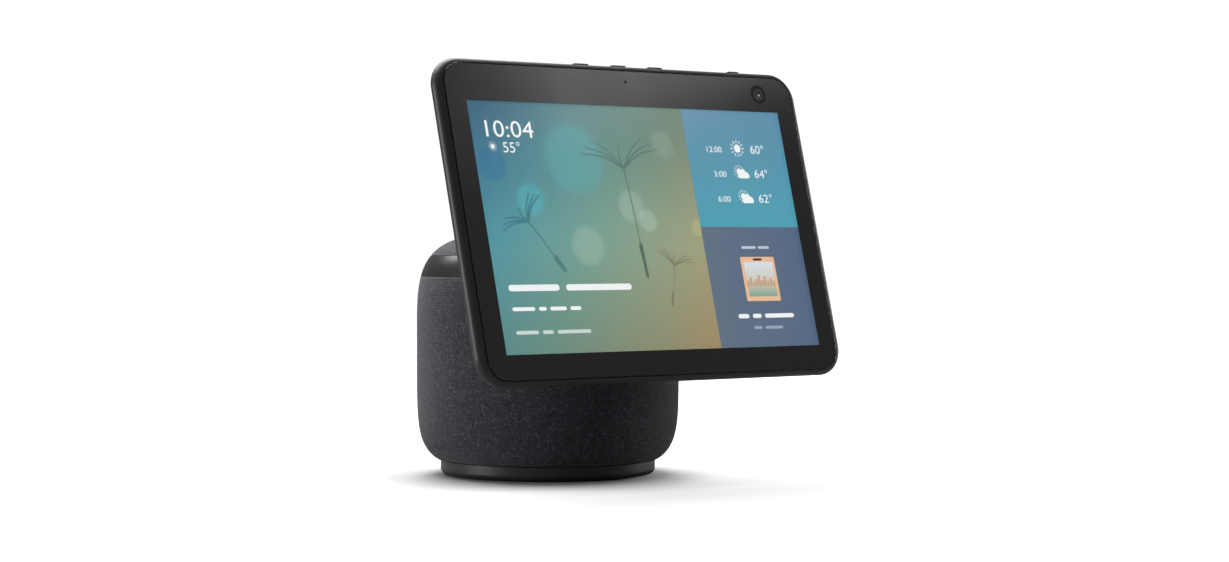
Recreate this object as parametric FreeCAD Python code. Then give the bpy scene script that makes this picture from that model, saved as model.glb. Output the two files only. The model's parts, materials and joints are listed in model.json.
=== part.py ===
import FreeCAD, Part
import math
import os

# Smart display: a tilting 10.1-inch touch display carried by a fabric-covered round speaker
# that turns on a fixed foot. Millimetres, +Z up, origin on the vertical turning axis at the floor.
# The display faces -Y. Display pieces are drawn in the display's own frame and then placed:
# x to the right, y up the screen, z towards the viewer, origin at the picture's centre.

V = FreeCAD.Vector
X_AXIS = V(1, 0, 0)
Y_AXIS = V(0, 1, 0)
Z_AXIS = V(0, 0, 1)

# --- driving dimensions: speaker body ---
BODY_R = 74.0  # largest radius
WAIST_Z = 75.0  # height of the largest radius
CROWN_H = 61.2  # from the waist up to the top of the crown
CROWN_Z = WAIST_Z + CROWN_H + 1  # any height above the crown
CROWN_POWER = 4.1  # superellipse exponent of the upper half
BELLY_H = 71.3  # nominal half height of the lower half
BELLY_POWER = 6.0
BODY_BOTTOM_Z = 8.8
BAND_BOTTOM_Z = 111.7
BAND_TOP_Z = 123.1
SEAM = 0.2  # gap where fabric meets the band
FABRIC_T = 1.0
SKIN_GAP = 0.1
SHELL_T = 2.0
BAND_T = 2.6
GRILLE_LOW_Z = 11.2
SLOT_COUNT = 30
SLOT_HALF_W = 2.2
SLOT_Z = (26.0, 96.0)

# --- driving dimensions: foot ---
FOOT_R = 60.5
FOOT_TOP_Z = 8.2
FOOT_LOW_Z = 0.4
FOOT_FILLET = 3.0
FOOT_LIP_R = 57.6
FOOT_LIP_TOP_Z = 10.2
FOOT_INNER_R = 56.0
FOOT_FLOOR_Z = 2.6
PAD_R = 54.0
PAD_T = 1.6
PAD_GAP = 0.2
FOOT_SCREW_RING_R = 47.0
FOOT_SCREW_R = 1.5
FOOT_SCREW_COUNT = 4

# --- driving dimensions: power inlet ---
INLET_R = 2.85  # takes a 5.5 mm barrel plug
INLET_Z = 5.0
JACK_BACK_Y = 43.0
JACK_HALF_W = 5.0
JACK_TOP_Z = 9.0
JACK_BORE_R = 3.1
JACK_BORE_L = 10.5  # into the body from the ring's inner wall
JACK_PIN_R = 0.95
JACK_PIN_SHORT = 4.0  # how far the pin's tip stays behind the ring's inner wall
JACK_BOARD_X = (7.0, 24.0)
JACK_BOARD_Y = (42.8, 49.0)

# --- driving dimensions: turning mechanism ---
BALLAST_IN_R = 33.0
BALLAST_TOP_Z = 6.0
SPINDLE_R = 9.0
SPINDLE_BORE_R = 6.0
SPINDLE_FLANGE_R = 14.0
SPINDLE_FLANGE_T = 2.0
SPINDLE_TOP_Z = 19.0
RUN_GAP = 0.05  # radial clearance of running fits
RACE_IN_R = 33.4
RACE_OUT_R = 41.4
RACE_T = 1.4
BALL_R = 1.6
BALL_COUNT = 24
TABLE_Z = 12.5
TABLE_T = 2.2
HUB_IN_R = 11.2
HUB_OUT_R = 14.0
STOP_R = 50.0
STOP_HALF_W = 2.4
STOP_PIN_R = 1.5
STOP_PIN_LOW_Z = 9.6
STOP_REACH = 3.0
STOP_TOP_Z = 11.0

# --- driving dimensions: turning motor ---
POLE_COUNT = 12
CORE_IN_R = 14.4
CORE_OUT_R = 18.0
CORE_Z = (4.8, 10.8)
TOOTH_HALF_W = 1.5
SHOE_HALF_W = 3.4
SHOE_R = (25.0, 26.6)
COIL_AT_R = (18.6, 24.6)
COIL_HALF_W = 2.7
COIL_RISE = 0.6  # how far a winding stands out past its tooth
MAGNET_R = (27.4, 30.0)
ROTOR_R = 31.6
ROTOR_LOW_Z = 5.0
ROTOR_ROOF_Z = 11.4

# --- driving dimensions: drivers and enclosure ---
BOX_R = 63.0
BOX_T = 2.2
BOX_LOW_Z = 16.5
BOX_TOP_Z = 103.5
BAFFLE_Y = -46.0
BOX_SPLIT_Y = -8.0
SPLIT_GAP = 0.02
HUB_ROOM_R = 15.5
HUB_ROOM_RISE = 1.5
HUB_WALL_T = 1.5
WOOFER_Z = 55.0
WOOFER_R = 38.0
RING_PROUD = 2.4  # the woofer ring in front of the baffle
BASKET_WINDOWS = 6
CONE_R = 31.0
CONE_DEPTH = 12.0
CONE_T = 0.7
SURROUND_ROLL = 2.3
SURROUND_T = 0.6
COIL_R = 12.0
COIL_L = 16.0
COIL_SLIP = 0.6
COIL_BACK = 10.9  # behind the baffle's face, as are the next three
SPIDER_BACK = 13.4
MAGNET_BACK = 17.8
DUST_CAP_BACK = 21.6
DUST_CAP_R = 17.0
SPIDER_WAVE = 0.7
SPIDER_PITCH = 2.2
SPIDER_POINTS = 7
SPIDER_T = 0.5
TWEETER_R = 12.5
TWEETER_DOME_R = 8.0
TWEETER_L = 14.0
TWEETER_PLATE_T = 2.0
TWEETER_SUNK = 1.2
TWEETER_Z = 86.0
TWEETER_TURN = 62.0  # degrees each side of straight ahead
BODY_SCREW_R = 1.5
BODY_SCREW_RING_R = 50.0
BODY_SCREW_COUNT = 6
AUDIO_BOARD_X = 34.0
AUDIO_BOARD_Y = (-14.0, 44.0)
BOARD_T = 1.6

# --- driving dimensions: display ---
TILT_BACK = 15.0
SCREEN_CENTRE = V(0, -90.33, 138.65)
SHELL_W = 251.0
SHELL_TOP = 91.7
SHELL_BOTTOM = -84.1
SHELL_CORNER_R = 16.0
RIM_FRONT = 0.3
RIM_BACK = 8.5
RIM_R = 4.05
BACK_DEPTH = 13.4
DOME_STEPS = (3.55, 14.0, 26.0, 38.0, 50.0, 60.0)  # insets of the domed back's sections
DOME_POWER = 2.2
WALL = 1.8
GLASS_W = 242.0
GLASS_TOP = 88.4
GLASS_BOTTOM = -81.4
GLASS_CORNER_R = 11.8
GLASS_T = 1.3
GLASS_GAP = 0.3
TOP_WALL_Y = GLASS_TOP + GLASS_GAP  # inner face of the top wall
GLASS_EDGE_R = 0.5
TAPE_T = 0.3
TAPE_OUT_W = 236.0
TAPE_OUT_Y = (-78.0, 73.0)
TAPE_IN_W = 226.0
TAPE_IN_Y = (-74.0, 71.4)
PANEL_W = 224.0
PANEL_Y = (-73.0, 71.0)
PANEL_T = 2.0
FRAME_W = 228.0
FRAME_Y = (-75.0, 72.0)
FRAME_Z = (-4.8, -3.7)
MID_W = 238.0
MID_Y = (-79.5, 72.5)
MID_Z = (-6.2, -4.9)
MID_WINDOW_W = 150.0
MID_WINDOW_Y = (-4.0, 62.0)
RIB_X = (-50.0, 0.0, 50.0)
BOARD_W = 120.0
BOARD_Y = (0.0, 60.0)
BOARD_BACK = 7.6
SHIELD_W = 46.0
SHIELD_Y = (12.0, 50.0)
SHIELD_T = 0.4
SHIELD_H = 2.0
MIC_BOARD_W = 70.0
MIC_BOARD_Y = (74.0, 83.6)
KEY_BOARD_X = (-36.0, 38.0)
KEY_BOARD_Y = (84.7, 85.7)
KEY_BOARD_Z = (-6.7, -3.2)
HOUSING_SCREW_R = 1.0
HOUSING_SCREW_Z = (-6.6, -4.95)
HOUSING_SCREWS = [(x, y) for x in (-112.0, 0.0, 112.0) for y in (-76.5, 70.0)]

# --- driving dimensions: keys and camera ---
KEY_X = {"mute_button": -25.2, "volume_down_button": 0.8, "volume_up_button": 26.7}
KEY_LEN = 10.8
KEY_W = 2.8
KEY_DEPTH = 5.0
KEY_PROUD = 0.9
KEY_GAP = 0.2
KEY_EDGE_R = 0.4
KEY_FLANGE_X = 7.0
KEY_FLANGE_Z = 1.2
KEY_NUB_L = 0.8
KEY_SLOT_DEPTH = 12.0
SLIDER_X = 84.2
SLIDER_LEN = 8.4
SLIDER_TRAVEL = 8.4
BLADE_T = 0.4
BLADE_HALF_H = 3.6
CAMERA_WINDOW_R = 5.6  # clear of ink in front of the camera; the open blade stops short of it
CAMERA = V(96.4, 78.3, 0)
CAMERA_HALF = 5.0
CAMERA_BARREL_R = 3.4
CAMERA_BORE_R = 2.4
CAMERA_BORE_L = 1.1
CAMERA_FRONT = -2.3
LENS_CURVE_R = 4.0
MIC = V(0.4, 81.8, 0)
MIC_R = 0.75

# --- driving dimensions: tilt hinge ---
HINGE_Y = -27.0  # below the picture's centre, along the screen
HINGE_DEPTH = 16.0  # behind the glass
PIN_R = 3.0
BARREL_R = 5.0
BARREL_HALF = 18.0
EAR_INNER = 19.0
EAR_OUTER = 23.0
HEAD_T = 1.7
HINGE_PLATE_W = 84.0
HINGE_PLATE_Y = (-52.0, -6.0)
HINGE_PLATE_Z = (-10.0, -8.4)
COVER_R = 7.6
COVER_T = 1.5
COVER_EDGE_R = 1.6
COVER_X = (18.6, 28.5)
ARM_HALF = 12.0
ARM_T = 5.0
ARM_FOOT_HALF = 24.0
ARM_COVER_T = 0.9
ARM_COVER_GAP_X = 0.7
ARM_COVER_SHARE = 0.52  # the covers end inside the shoulder band
ARM_COVER_EDGE_R = 1.4
RIBBON_HALF = 5.0
RIBBON_T = 0.6

FAR = 200.0  # reaches past every piece, for cutting tools
CLEAR = 0.1  # between pieces that sit against each other

DISPLAY_PLACE = FreeCAD.Placement(SCREEN_CENTRE, FreeCAD.Rotation(X_AXIS, 90 - TILT_BACK))
HINGE = DISPLAY_PLACE.multVec(V(0, HINGE_Y, -HINGE_DEPTH))
ARM_ROOT = V(0, -BODY_R + 20, 111.8)

NODES = {}


def add(name, shape):
    NODES[name] = shape


def add_on_display(name, shape):
    """Keep a piece that was drawn in the display's frame."""
    placed = shape.copy()
    placed.Placement = DISPLAY_PLACE.multiply(placed.Placement)
    NODES[name] = placed


# --- shape helpers ---


def cylinder(radius, z0, z1, x=0.0, y=0.0):
    return Part.makeCylinder(radius, z1 - z0, V(x, y, z0))


def tube(inner, outer, z0, z1):
    return cylinder(outer, z0, z1).cut(cylinder(inner, z0 - 1, z1 + 1))


def box(x0, x1, y0, y1, z0, z1):
    return Part.makeBox(x1 - x0, y1 - y0, z1 - z0, V(x0, y0, z0))


def pair(side, near, far):
    """Two distances from the middle plane, lowest first, on the side given by -1 or 1."""
    return sorted((side * near, side * far))


def slab(width, y0, y1, corner_r, z0, z1):
    """A plate with round corners, centred on x = 0."""
    plate = box(-width / 2, width / 2, y0, y1, z0, z1)
    upright = [e for e in plate.Edges if abs(e.tangentAt(e.FirstParameter).z) > 0.9]
    return plate.makeFillet(corner_r, upright)


def pill(length, width, z0, z1, centre=V(0, 0, 0)):
    """A bar along x with round ends."""
    half = length / 2 - width / 2
    ends = [cylinder(width / 2, z0, z1, side * half) for side in (-1, 1)]
    shape = box(-half, half, -width / 2, width / 2, z0, z1).fuse(ends)
    shape = shape.removeSplitter()
    shape.translate(centre)
    return shape


def revolve(edges):
    face = Part.Face(Part.Wire(Part.__sortEdges__(edges)))
    return face.revolve(V(0, 0, 0), Z_AXIS, 360)


def revolve_outline(points):
    """Turn a closed outline of (radius, height) pairs about the vertical axis."""
    corners = [V(r, 0, z) for r, z in points]
    return revolve(Part.makePolygon(corners + corners[:1]).Edges)


def lathe_y(points, y_at, z_at):
    """Turn a closed outline of (radius, depth) pairs about a front-to-back axis."""
    shape = revolve_outline(points)
    shape.rotate(V(0, 0, 0), X_AXIS, -90)
    shape.translate(V(0, y_at, z_at))
    return shape


def bar_x(radius, x0, x1, centre):
    """A round bar along x."""
    return Part.makeCylinder(radius, x1 - x0, V(x0, centre.y, centre.z), X_AXIS)


def ring_of(shape, count):
    """Copies of a shape, evenly spaced about the vertical axis."""
    copies = []
    for i in range(count):
        copy = shape.copy()
        copy.rotate(V(0, 0, 0), Z_AXIS, 360.0 * i / count)
        copies.append(copy)
    return copies


def body_radius(z, inset=0.0):
    """The speaker body's outer radius at a height, or that of a surface inset inside it."""
    power = CROWN_POWER if z > WAIST_Z else BELLY_POWER
    half = (CROWN_H if z > WAIST_Z else BELLY_H) - inset
    share = min(abs(z - WAIST_Z) / half, 1.0)
    return (BODY_R - inset) * (1 - share**power) ** (1 / power)


def outline_point(angle, inset):
    """A point of the speaker body's outline, seen from the middle of its waist."""
    upper = angle > 0
    power = CROWN_POWER if upper else BELLY_POWER
    half = (CROWN_H if upper else BELLY_H) - inset
    out = max(math.cos(angle), 0.0)
    up = math.sin(angle)
    reach = ((out / (BODY_R - inset)) ** power + (abs(up) / half) ** power) ** (-1 / power)
    return V(reach * out, 0, WAIST_Z + reach * up)


def body_curve(z0, z1, inset, steps=24):
    """The body's outline between two heights; a height above the crown ends on the axis."""
    ends = [math.atan2(z - WAIST_Z, body_radius(z, inset)) for z in (z0, z1)]
    points = [outline_point(ends[0] + (ends[1] - ends[0]) * i / steps, inset) for i in range(steps + 1)]
    curve = Part.BSplineCurve()
    if z1 > WAIST_Z + CROWN_H - inset:
        points[-1] = V(0, 0, WAIST_Z + CROWN_H - inset)
    curve.interpolate(points)
    return curve.toShape()


def body_shell(z0, z1, outer_inset, thickness):
    """A shell that follows the speaker body between two heights."""
    outer = body_curve(z0, z1, outer_inset)
    inner = body_curve(z0, z1, outer_inset + thickness)
    caps = [Part.makeLine(outer.Vertexes[i].Point, inner.Vertexes[i].Point) for i in (0, 1)]
    return revolve([outer, inner] + caps)


# --- fixed foot ---


def inlet_hole():
    return Part.makeCylinder(INLET_R, 3 * FOOT_FILLET, V(0, FOOT_INNER_R - 1, INLET_Z), Y_AXIS)


def jack_bay(gap):
    """The space of the power jack, grown by a gap."""
    half = JACK_HALF_W + gap
    front = FOOT_INNER_R - 2 * CLEAR + gap
    return box(-half, half, JACK_BACK_Y - gap, front, PAD_T + CLEAR - gap, JACK_TOP_Z + gap)


def foot_screw_rods(radius, z0, z1):
    across = FOOT_SCREW_RING_R * math.sqrt(0.5)
    return ring_of(cylinder(radius, z0, z1, across, across), FOOT_SCREW_COUNT)


def foot_outline():
    """The ring's section as edges, with its lower outer corner rounded."""
    low = FOOT_LOW_Z + FOOT_FILLET
    knee = FOOT_FILLET * math.sqrt(0.5)
    middle = V(FOOT_R - FOOT_FILLET + knee, 0, low - knee)
    fillet = Part.Arc(V(FOOT_R - FOOT_FILLET, 0, FOOT_LOW_Z), middle, V(FOOT_R, 0, low)).toShape()
    pad_edge = PAD_R + PAD_GAP
    outline = [
        (FOOT_R, low),
        (FOOT_R, FOOT_TOP_Z),
        (FOOT_LIP_R, FOOT_TOP_Z),
        (FOOT_LIP_R, FOOT_LIP_TOP_Z),
        (FOOT_INNER_R, FOOT_LIP_TOP_Z),
        (FOOT_INNER_R, FOOT_FLOOR_Z),
        (0, FOOT_FLOOR_Z),
        (0, PAD_T),
        (pad_edge, PAD_T),
        (pad_edge, FOOT_LOW_Z),
        (FOOT_R - FOOT_FILLET, FOOT_LOW_Z),
    ]
    return Part.makePolygon([V(r, 0, z) for r, z in outline]).Edges + [fillet]


def foot_ring():
    """The foot's shell, with the block that stops the turn at its front."""
    ring = revolve(foot_outline())
    half = STOP_HALF_W
    stop = box(-half, half, -STOP_R - STOP_REACH, -STOP_R + STOP_REACH, BALLAST_TOP_Z, STOP_TOP_Z)
    leg = box(-half, half, -FOOT_INNER_R - 0.5, -STOP_R, BALLAST_TOP_Z, FOOT_LIP_TOP_Z)
    holes = [inlet_hole(), jack_bay(CLEAR)] + foot_screw_rods(FOOT_SCREW_R + CLEAR, 0, BALLAST_TOP_Z)
    return ring.cut(holes).fuse([stop, leg])


def ballast_plate():
    plate = tube(BALLAST_IN_R, FOOT_INNER_R - 1, FOOT_FLOOR_Z, BALLAST_TOP_Z)
    return plate.cut([jack_bay(5 * CLEAR)] + foot_screw_rods(FOOT_SCREW_R + CLEAR, 0, BALLAST_TOP_Z + 1))


def power_jack():
    start = V(0, FOOT_INNER_R - JACK_BORE_L, INLET_Z)
    return jack_bay(0).cut(Part.makeCylinder(JACK_BORE_R, JACK_BORE_L + 1, start, Y_AXIS))


def jack_pin():
    """The jack's centre contact, round at its tip."""
    straight = JACK_BORE_L - JACK_PIN_SHORT - JACK_PIN_R
    start = V(0, FOOT_INNER_R - JACK_BORE_L, INLET_Z)
    pin = Part.makeCylinder(JACK_PIN_R, straight, start, Y_AXIS)
    tip = Part.makeSphere(JACK_PIN_R, start + Y_AXIS * straight)
    return pin.fuse(tip)


def jack_board():
    return box(*JACK_BOARD_X, *JACK_BOARD_Y, BALLAST_TOP_Z + 2 * CLEAR, BALLAST_TOP_Z + 2 * CLEAR + BOARD_T)


def spindle():
    flange = tube(SPINDLE_BORE_R, SPINDLE_FLANGE_R, FOOT_FLOOR_Z, FOOT_FLOOR_Z + SPINDLE_FLANGE_T)
    return flange.fuse(tube(SPINDLE_BORE_R, SPINDLE_R, FOOT_FLOOR_Z, SPINDLE_TOP_Z)).removeSplitter()


def motor_stator():
    """A laminated core with one tooth per coil."""
    core = tube(CORE_IN_R, CORE_OUT_R, *CORE_Z)
    tooth = box(CORE_OUT_R - 0.5, SHOE_R[1] - 0.6, -TOOTH_HALF_W, TOOTH_HALF_W, *CORE_Z)
    shoe = box(*SHOE_R, -SHOE_HALF_W, SHOE_HALF_W, *CORE_Z)
    return core.fuse(ring_of(tooth, POLE_COUNT) + ring_of(shoe, POLE_COUNT)).removeSplitter()


def motor_coils():
    low, high = CORE_Z
    window_half = TOOTH_HALF_W + CLEAR
    coil = box(*COIL_AT_R, -COIL_HALF_W, COIL_HALF_W, low - COIL_RISE, high + COIL_RISE)
    window = box(0, FAR, -window_half, window_half, low - CLEAR, high + CLEAR)
    return Part.makeCompound(ring_of(coil.cut(window), POLE_COUNT))


def bearing_balls():
    middle = (RACE_IN_R + RACE_OUT_R) / 2
    z = BALLAST_TOP_Z + RACE_T + BALL_R + RUN_GAP
    return Part.makeCompound(ring_of(Part.makeSphere(BALL_R, V(middle, 0, z)), BALL_COUNT))


def build_foot():
    add("foot_pad", cylinder(PAD_R, 0, PAD_T))
    add("foot_ring", foot_ring())
    add("ballast_plate", ballast_plate())
    screws = foot_screw_rods(FOOT_SCREW_R, PAD_T + RUN_GAP, BALLAST_TOP_Z - 4 * CLEAR)
    add("foot_screws", Part.makeCompound(screws))
    add("power_jack", power_jack())
    add("jack_pin", jack_pin())
    add("jack_board", jack_board())
    add("spindle", spindle())
    add("bearing_lower_race", tube(RACE_IN_R, RACE_OUT_R, BALLAST_TOP_Z, BALLAST_TOP_Z + RACE_T))
    add("bearing_balls", bearing_balls())
    add("motor_stator", motor_stator())
    add("motor_coils", motor_coils())


# --- turning speaker body ---


def turntable():
    """The turning floor of the speaker, with its hub and the pin that limits the turn."""
    edge_r = body_radius(TABLE_Z, FABRIC_T + SKIN_GAP + SHELL_T) - 0.3
    plate = tube(HUB_IN_R, edge_r, TABLE_Z, TABLE_Z + TABLE_T)
    hub = tube(HUB_IN_R, HUB_OUT_R, TABLE_Z, SPINDLE_TOP_Z - 1)
    pin = cylinder(STOP_PIN_R, STOP_PIN_LOW_Z, TABLE_Z + 0.5, 0, STOP_R)
    return plate.fuse([hub, pin]).removeSplitter()


def grille_shell():
    """The rigid shell under the fabric, slotted all round for sound."""
    shell = body_shell(GRILLE_LOW_Z, BAND_BOTTOM_Z - 2 * SEAM, FABRIC_T + SKIN_GAP, SHELL_T)
    slot = box(BOX_R, BODY_R + 1, -SLOT_HALF_W, SLOT_HALF_W, *SLOT_Z)
    return shell.cut(ring_of(slot, SLOT_COUNT) + [arm_tunnel(0.6)])


def shoulder_band():
    band = body_shell(BAND_BOTTOM_Z, BAND_TOP_Z, 0.0, BAND_T)
    return band.cut(arm_tunnel(0.4))


def bearing_upper_race():
    low = BALLAST_TOP_Z + RACE_T + 2 * (BALL_R + RUN_GAP)
    return tube(RACE_IN_R, RACE_OUT_R, low, TABLE_Z)


def motor_rotor():
    """A steel cup that carries the magnets outside the coils."""
    wall = tube(MAGNET_R[1], ROTOR_R, ROTOR_LOW_Z, TABLE_Z)
    roof = tube(MAGNET_R[0], ROTOR_R, ROTOR_ROOF_Z, TABLE_Z)
    return wall.fuse(roof).removeSplitter()


def build_turntable():
    add("turntable", turntable())
    add("spindle_bushing", tube(SPINDLE_R + RUN_GAP, HUB_IN_R, TABLE_Z, SPINDLE_TOP_Z - 1))
    add("bearing_upper_race", bearing_upper_race())
    add("motor_rotor", motor_rotor())
    add("motor_magnets", tube(*MAGNET_R, ROTOR_LOW_Z, ROTOR_ROOF_Z))


def build_skins():
    sleeve = body_shell(BODY_BOTTOM_Z, BAND_BOTTOM_Z - SEAM, 0.0, FABRIC_T)
    add("fabric_sleeve", sleeve.cut(arm_tunnel(0.4)))
    add("grille_shell", grille_shell())
    add("shoulder_band", shoulder_band())
    add("cap_fabric", body_shell(BAND_TOP_Z + SEAM, CROWN_Z, 0.0, FABRIC_T))
    add("cap_shell", body_shell(BAND_TOP_Z + SEAM, CROWN_Z, FABRIC_T + SKIN_GAP, SHELL_T))


# --- enclosure and drivers ---


def along_y(radius, y0, y1, z):
    return Part.makeCylinder(radius, y1 - y0, V(0, y0, z), Y_AXIS)


def turned(shape, degrees):
    copy = shape.copy()
    copy.rotate(V(0, 0, 0), Z_AXIS, degrees)
    return copy


def in_front_of(y):
    return box(-FAR, FAR, -FAR, y, 0, FAR)


def enclosure():
    """A sealed drum with a flat front for the woofer and a raised roof over the spindle."""
    outer = cylinder(BOX_R, BOX_LOW_Z, BOX_TOP_Z).cut(in_front_of(BAFFLE_Y))
    inner = cylinder(BOX_R - BOX_T, BOX_LOW_Z + BOX_T, BOX_TOP_Z - BOX_T).cut(in_front_of(BAFFLE_Y + BOX_T))
    hub_room = cylinder(HUB_ROOM_R, BOX_LOW_Z - 1, SPINDLE_TOP_Z + HUB_ROOM_RISE)
    hub_wall = cylinder(HUB_ROOM_R + HUB_WALL_T, BOX_LOW_Z, SPINDLE_TOP_Z + HUB_ROOM_RISE + 2.0)
    holes = [along_y(WOOFER_R - 1.5, BAFFLE_Y - 1, BAFFLE_Y + 9, WOOFER_Z)]
    for side in (-1, 1):
        hole = along_y(TWEETER_R - 1.5, -BOX_R - 17, -BOX_R + 23, TWEETER_Z)
        holes.append(turned(hole, side * TWEETER_TURN))
    return outer.cut(inner).fuse(hub_wall).cut([hub_room] + holes).removeSplitter()


def woofer_basket():
    """Front ring and tapering frame, with windows between its legs."""
    ring_in = CONE_R + 5.0
    back_out = CONE_R - 1.0
    seat_r = 15.0
    ring_t = 2.2
    depth = 20.0
    wall = 1.5
    outline = [
        (ring_in + 0.6, 0),
        (WOOFER_R, 0),
        (WOOFER_R, ring_t),
        (ring_in, ring_t),
        (back_out, depth),
        (seat_r, depth),
        (seat_r, depth - wall),
        (back_out - 1.4, depth - wall),
        (ring_in - 1.6, ring_t),
    ]
    frame = lathe_y(outline, BAFFLE_Y - RING_PROUD, WOOFER_Z).copy()
    window = box(-6, 6, BAFFLE_Y + 2.6, BAFFLE_Y + 14, depth, CONE_R + 8)
    turn = 360.0 / BASKET_WINDOWS
    windows = []
    for i in range(BASKET_WINDOWS):
        cutter = window.copy()
        cutter.rotate(V(0, 0, 0), Y_AXIS, turn * (i + 0.5))
        cutter.translate(V(0, 0, WOOFER_Z))
        windows.append(cutter)
    return frame.cut(windows)


def woofer_magnet():
    """Top plate, ring magnet, back plate and centre pole."""
    gap_out = COIL_R + 1.6
    pole_r = COIL_R - COIL_SLIP
    plate_r = 26.0
    plate_t = 4.0
    magnet_r = 30.0
    back_y = 17.0
    end_y = 21.0
    outline = [
        (gap_out, 0),
        (plate_r, 0),
        (plate_r, plate_t),
        (magnet_r, plate_t),
        (magnet_r, back_y),
        (plate_r + 1, back_y),
        (plate_r + 1, end_y),
        (0, end_y),
        (0, 1.0),
        (pole_r, 1.0),
        (pole_r, back_y),
        (gap_out, back_y),
    ]
    return lathe_y(outline, BAFFLE_Y + MAGNET_BACK, WOOFER_Z)


def woofer_cone():
    inner = COIL_R + COIL_SLIP
    outline = [(CONE_R, 0.0), (CONE_R, CONE_T), (inner, CONE_DEPTH + CONE_T), (inner, CONE_DEPTH)]
    return lathe_y(outline, BAFFLE_Y - RING_PROUD, WOOFER_Z)


def dust_cap():
    """A thin dome over the voice coil."""
    sphere = Part.makeSphere(DUST_CAP_R).cut(Part.makeSphere(DUST_CAP_R - SURROUND_T))
    keep = Part.makeCylinder(COIL_R + 0.3, DUST_CAP_R + 1, V(0, 0, 0), V(0, -1, 0))
    dome = sphere.common(keep)
    dome.translate(V(0, BAFFLE_Y + DUST_CAP_BACK, WOOFER_Z))
    return dome


def woofer_surround():
    """A half roll of rubber between cone and frame."""
    middle = CONE_R + SURROUND_ROLL + 0.65
    outer = Part.makeTorus(middle, SURROUND_ROLL, V(0, 0, 0), Y_AXIS)
    inner = Part.makeTorus(middle, SURROUND_ROLL - SURROUND_T, V(0, 0, 0), Y_AXIS)
    front = along_y(WOOFER_R + 5, -SURROUND_ROLL - 1, 0, 0)
    shape = outer.cut(inner).common(front)
    shape.translate(V(0, BAFFLE_Y - RING_PROUD - CLEAR, WOOFER_Z))
    return shape


def voice_coil():
    inner = COIL_R - 2 * CLEAR
    outer = COIL_R + COIL_SLIP
    outline = [(inner, 0.0), (outer, 0.0), (outer, COIL_L), (inner, COIL_L)]
    return lathe_y(outline, BAFFLE_Y + COIL_BACK, WOOFER_Z)


def woofer_spider():
    """Corrugated centring disc behind the cone."""
    start = COIL_R + COIL_SLIP + CLEAR
    front = [(start + SPIDER_PITCH * i, 0 if i % 2 else SPIDER_WAVE) for i in range(SPIDER_POINTS)]
    back = [(r, y + SPIDER_T) for r, y in reversed(front)]
    return lathe_y(front + back, BAFFLE_Y + SPIDER_BACK, WOOFER_Z)


def tweeter(side):
    """Dome, faceplate and motor of one tweeter, facing outwards."""
    dome = Part.makeSphere(TWEETER_DOME_R, V(0, TWEETER_DOME_R / 2, 0))
    dome = dome.common(along_y(TWEETER_R, -TWEETER_DOME_R, 2 * CLEAR, 0))
    plate = along_y(TWEETER_R, 0, TWEETER_PLATE_T, 0)
    motor = along_y(TWEETER_R - 2.5, TWEETER_PLATE_T, TWEETER_L, 0)
    shape = plate.fuse([motor, dome]).removeSplitter()
    shape.translate(V(0, -BOX_R + TWEETER_SUNK, TWEETER_Z))
    return turned(shape, side * TWEETER_TURN)


def body_screws():
    top = BOX_LOW_Z + BOX_T - 0.3
    screw = cylinder(BODY_SCREW_R, TABLE_Z + 2.0, top, BODY_SCREW_RING_R, 0)
    return Part.makeCompound(ring_of(screw, BODY_SCREW_COUNT))


def build_drivers():
    tweeters = {side: tweeter(side) for side in (-1, 1)}
    screws = body_screws()
    shell = enclosure().cut(list(tweeters.values()) + [screws])
    add("enclosure_front", shell.common(in_front_of(BOX_SPLIT_Y)))
    add("enclosure_rear", shell.cut(in_front_of(BOX_SPLIT_Y + SPLIT_GAP)))
    NODES["turntable"] = NODES["turntable"].cut(screws)
    add("body_screws", screws)
    add("tweeter_left", tweeters[-1])
    add("tweeter_right", tweeters[1])
    add("woofer_basket", woofer_basket())
    add("woofer_magnet", woofer_magnet())
    add("woofer_cone", woofer_cone())
    add("dust_cap", dust_cap())
    add("voice_coil", voice_coil())
    add("woofer_surround", woofer_surround())
    add("woofer_spider", woofer_spider())
    board_low = BOX_TOP_Z + 2
    add("audio_board", box(-AUDIO_BOARD_X, AUDIO_BOARD_X, *AUDIO_BOARD_Y, board_low, board_low + BOARD_T))


# --- arm and tilt hinge ---


def lean_of_arm():
    return math.atan2(ARM_ROOT.z - HINGE.z, ARM_ROOT.y - HINGE.y)


def across_arm(distance):
    """A step square to the arm, upwards."""
    return V(0, -math.sin(lean_of_arm()), math.cos(lean_of_arm())) * distance


def arm_bar(half_width, half_thick, share):
    """A flat bar from the hinge towards the arm's root, over a share of the way."""
    end = HINGE + (ARM_ROOT - HINGE) * share
    up = across_arm(half_thick)
    corners = [HINGE + up, end + up, end - up, HINGE - up]
    face = Part.Face(Part.makePolygon(corners + corners[:1]))
    face.translate(V(-half_width, 0, 0))
    return face.extrude(X_AXIS * (2 * half_width))


def cover_half_width():
    return ARM_HALF + ARM_COVER_GAP_X + ARM_COVER_T


def cover_half_thick():
    return ARM_T / 2 + ARM_COVER_T + 1.0


def arm_tunnel(gap):
    """The opening that the arm needs in the skins."""
    tunnel = arm_bar(cover_half_width() + gap, cover_half_thick() + gap, 1.0)
    return tunnel.cut(in_front_of(HINGE.y + 4))


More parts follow.
